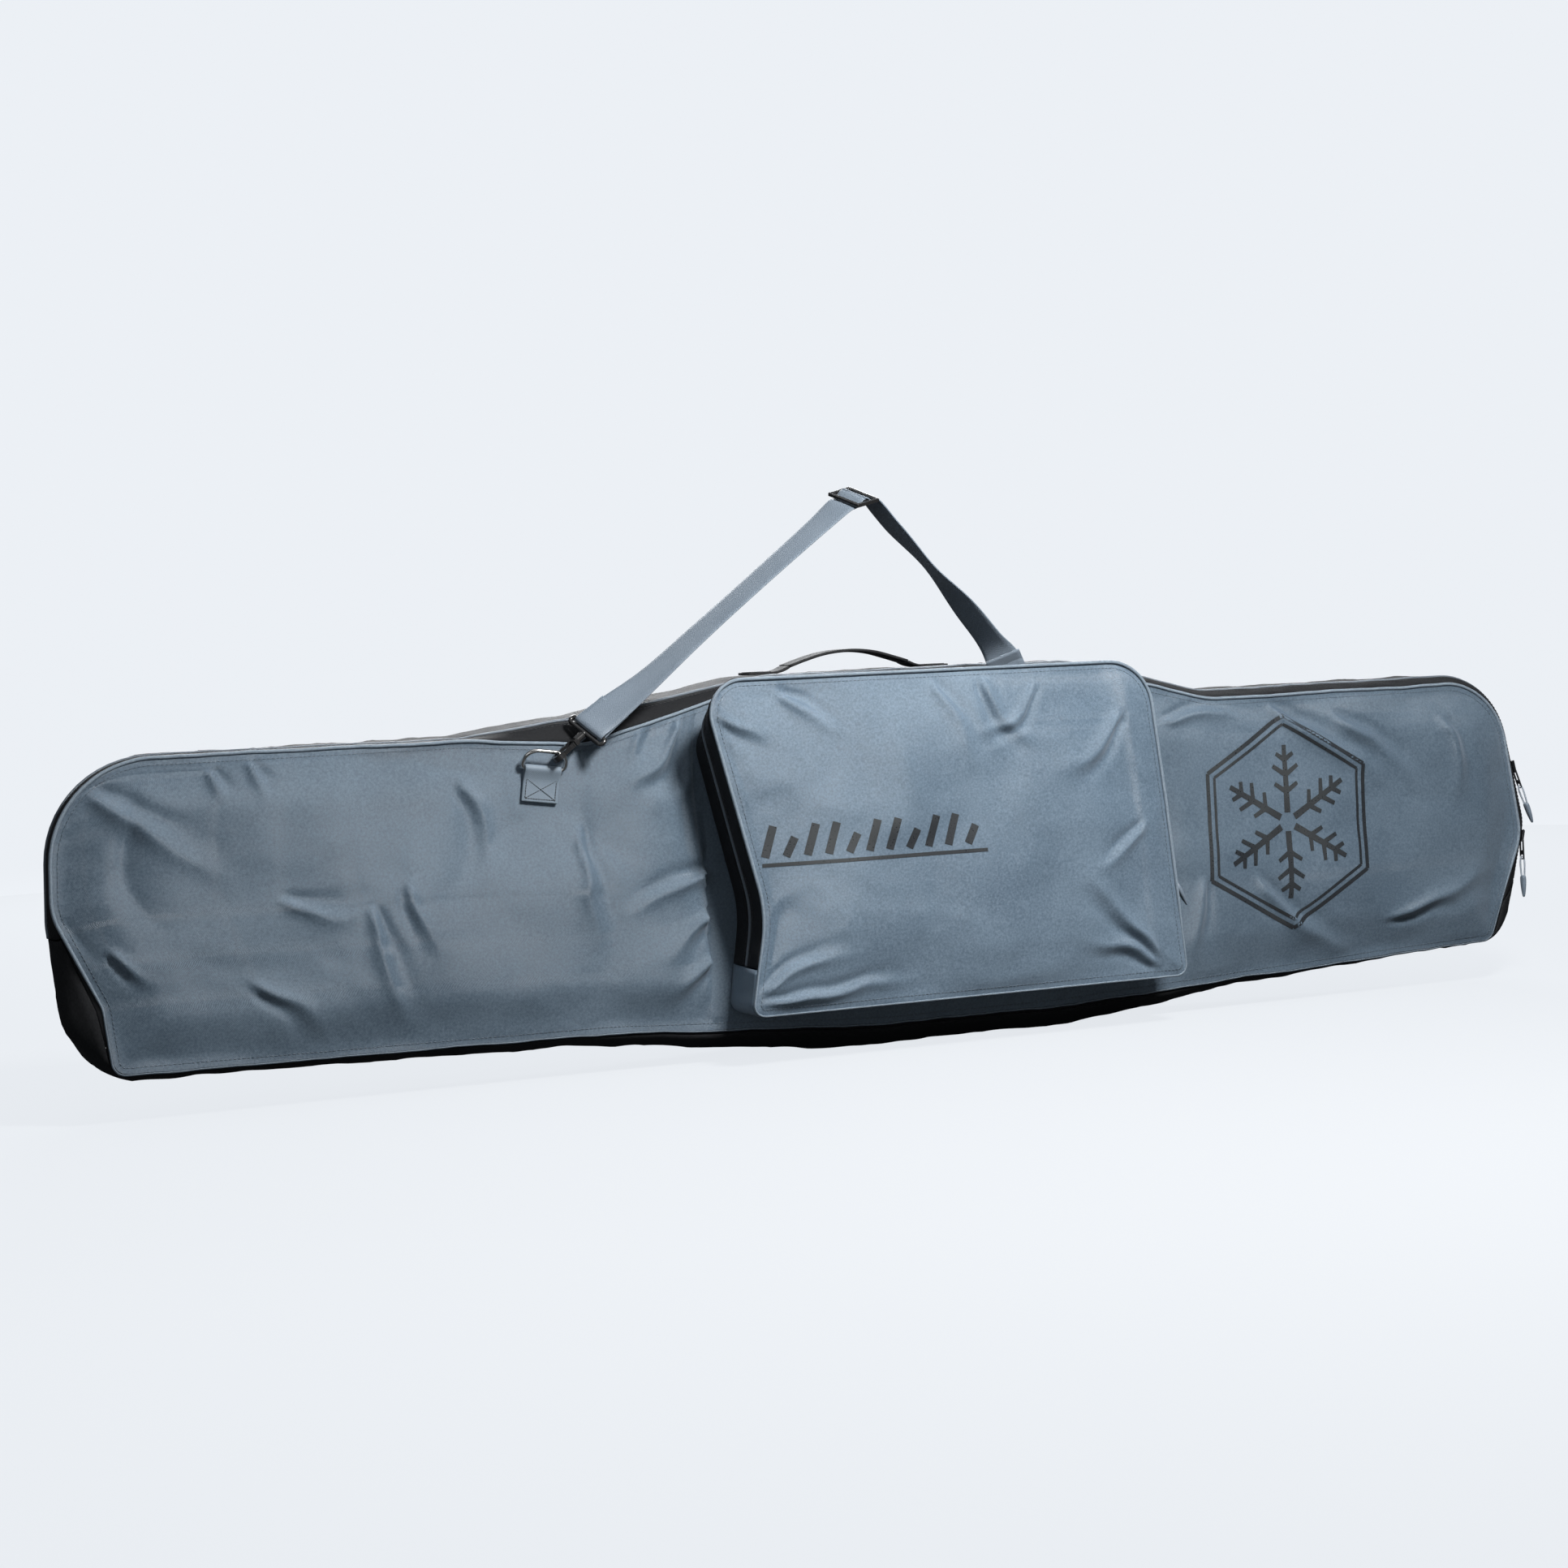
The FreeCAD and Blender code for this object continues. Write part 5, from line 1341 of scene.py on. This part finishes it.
def printed(name, tree, bars, body):
    """Straight bars of glossy film laid on a panel. Each is (start, end, width, share of it at the end)."""
    vertices, faces = [], []
    for number, (start, end, width, taper) in enumerate(bars):
        start, end = np.array(start, float), np.array(end, float)
        span = np.linalg.norm(end - start)
        across = left_of((end - start) / span)
        rows, columns = max(int(span / FILM_STEP), 2) + 1, max(int(width / FILM_STEP), 1) + 1
        faces += grid_faces(grid_index(rows, columns, len(vertices)))[:, [0, 3, 2, 1]].tolist()
        for share in np.linspace(0, 1, rows):
            half = width / 2 * (1 + (taper - 1) * share)
            for side in np.linspace(-half, half, columns):
                point = start + (end - start) * share + across * side
                vertices.append(laid_on(tree, *point, 0.30 + 0.02 * (number % 4)))
    dress(mesh_object(name, vertices, faces), FILM, body, "front_cloth")


# A plain row of slanted bars on the pocket, and a six-armed frost star in a hexagon on the panel.
bars = []
for number in range(11):
    left = -148 + number * 21.5
    height = 30 if number % 3 != 1 else 18
    bars.append(((left, 204), (left + 9, 204 + height), 8.5, 1.0))
bars.append(((-151, 196.5), (88, 196.5), 3.6, 1.0))
printed("pocket_bars", pocket_tree, bars, "pocket_flap")

centre = np.array([486.0, 196.0])
star = []
for number in range(6):
    angle = math.radians(30 + 60 * number)
    way = np.array([math.cos(angle), math.sin(angle)])
    following = np.array([math.cos(angle + math.pi / 3), math.sin(angle + math.pi / 3)])
    for radius, width in ((112, 4.5), (103, 3.2)):
        reach = radius + width * 0.29
        star.append((centre + way * reach, centre + following * reach, width, 1.0))
    star.append((centre + way * 10, centre + way * 82, 7.5, 0.7))
    for out, reach in ((32, 17), (50, 19), (66, 13)):
        for turn in (-1, 1):
            branch = np.array([math.cos(angle + turn * 1.0), math.sin(angle + turn * 1.0)])
            star.append((centre + way * out, centre + way * out + branch * reach, 5.5, 0.8))
printed("frost_star", front_tree, star, "front_lid")


# ---------------------------------------------------------------- carried-over hardware
def bevelled(node, width, segments=3):
    obj = bpy.data.objects[node]
    weld = obj.modifiers.new("weld", "WELD")
    weld.merge_threshold = 0.00002
    round_over = obj.modifiers.new("round", "BEVEL")
    round_over.width = width * MM
    round_over.segments = segments
    round_over.limit_method = "ANGLE"
    round_over.angle_limit = math.radians(35)
    round_over.harden_normals = False
    smooth = obj.modifiers.new("normals", "WEIGHTED_NORMAL")
    smooth.keep_sharp = True


NODE_LOOKS = {"strap_adjuster": (BUCKLE, 0.7)}
for side in RINGS:
    NODE_LOOKS["hook_body_" + side] = (HOOK_BLACK, 0.9)
    NODE_LOOKS["hook_gate_" + side] = (HOOK_BLACK, 0.4)
for name in PULLS:
    NODE_LOOKS[name] = (SLIDER_METAL, 0.3)
    NODE_LOOKS[name + "_tab"] = (PULL_METAL, 0.3)
for node, (material, width) in NODE_LOOKS.items():
    bevelled(node, width)
    if not bpy.data.objects[node].material_slots:
        raise RuntimeError(node + " has no material slot")
    for slot in bpy.data.objects[node].material_slots:
        slot.material = material


# ---------------------------------------------------------------- floor and backdrop
def glow(name, base, emission):
    """Pale matt paint with light of its own."""
    s = Shader(name)
    s.raise_by(s.noise(3.0, 2.0), 0.0002, 0.2)
    light = {"Emission_Color": STUDIO_COLOUR, "Emission_Strength": emission}
    return s.done((base, base * 1.02, base * 1.04), 0.9, Specular_IOR_Level=0.0, **light)


# The floor's (radius, height) in metres, from near its middle to the top of the wall.
FLOOR_PROFILE = [(0.5, 0), (1, 0), (1.5, 0), (2, 0), (3, 0), (4, 0), (5, 0)]
FLOOR_PROFILE += [(6, 0.02), (6.6, 0.2), (6.9, 0.55), (7, 1), (7, 2.2), (7, 3.6)]
FLOOR_SIDES = 72
WALL_FROM = 2.6


def studio():
    """A round pale floor that curves up into a wall."""
    count = FLOOR_SIDES
    vertices = [(0, 0, 0)]
    for r, h in FLOOR_PROFILE:
        vertices += [(r * math.cos(TAU * k / count), r * math.sin(TAU * k / count), h) for k in range(count)]
    faces = [(0, 1 + k, 1 + (k + 1) % count) for k in range(count)]
    for base in range(1, len(vertices) - count, count):
        for k in range(count):
            after = (k + 1) % count
            faces.append((base + k, base + count + k, base + count + after, base + after))
    mesh = bpy.data.meshes.new("studio")
    mesh.from_pydata(vertices, [], faces)
    mesh.polygons.foreach_set("use_smooth", [True] * len(mesh.polygons))
    mesh.materials.append(glow("pale floor", 0.05, 0.905))
    mesh.materials.append(glow("pale wall", 0.02, 0.985))
    indices = [0 if polygon.center.xy.length < WALL_FROM else 1 for polygon in mesh.polygons]
    mesh.polygons.foreach_set("material_index", indices)
    floor = bpy.data.objects.new("studio", mesh)
    bpy.context.scene.collection.objects.link(floor)
    lit = bpy.data.collections.new("lit by the studio")
    lit.objects.link(floor)
    floor.light_linking.receiver_collection = lit
    skipped = bpy.data.collections.new("not lit by the bounce")
    skipped.objects.link(floor)
    skipped.collection_objects[0].light_linking.link_state = "EXCLUDE"
    bounce.light_linking.receiver_collection = skipped


studio()
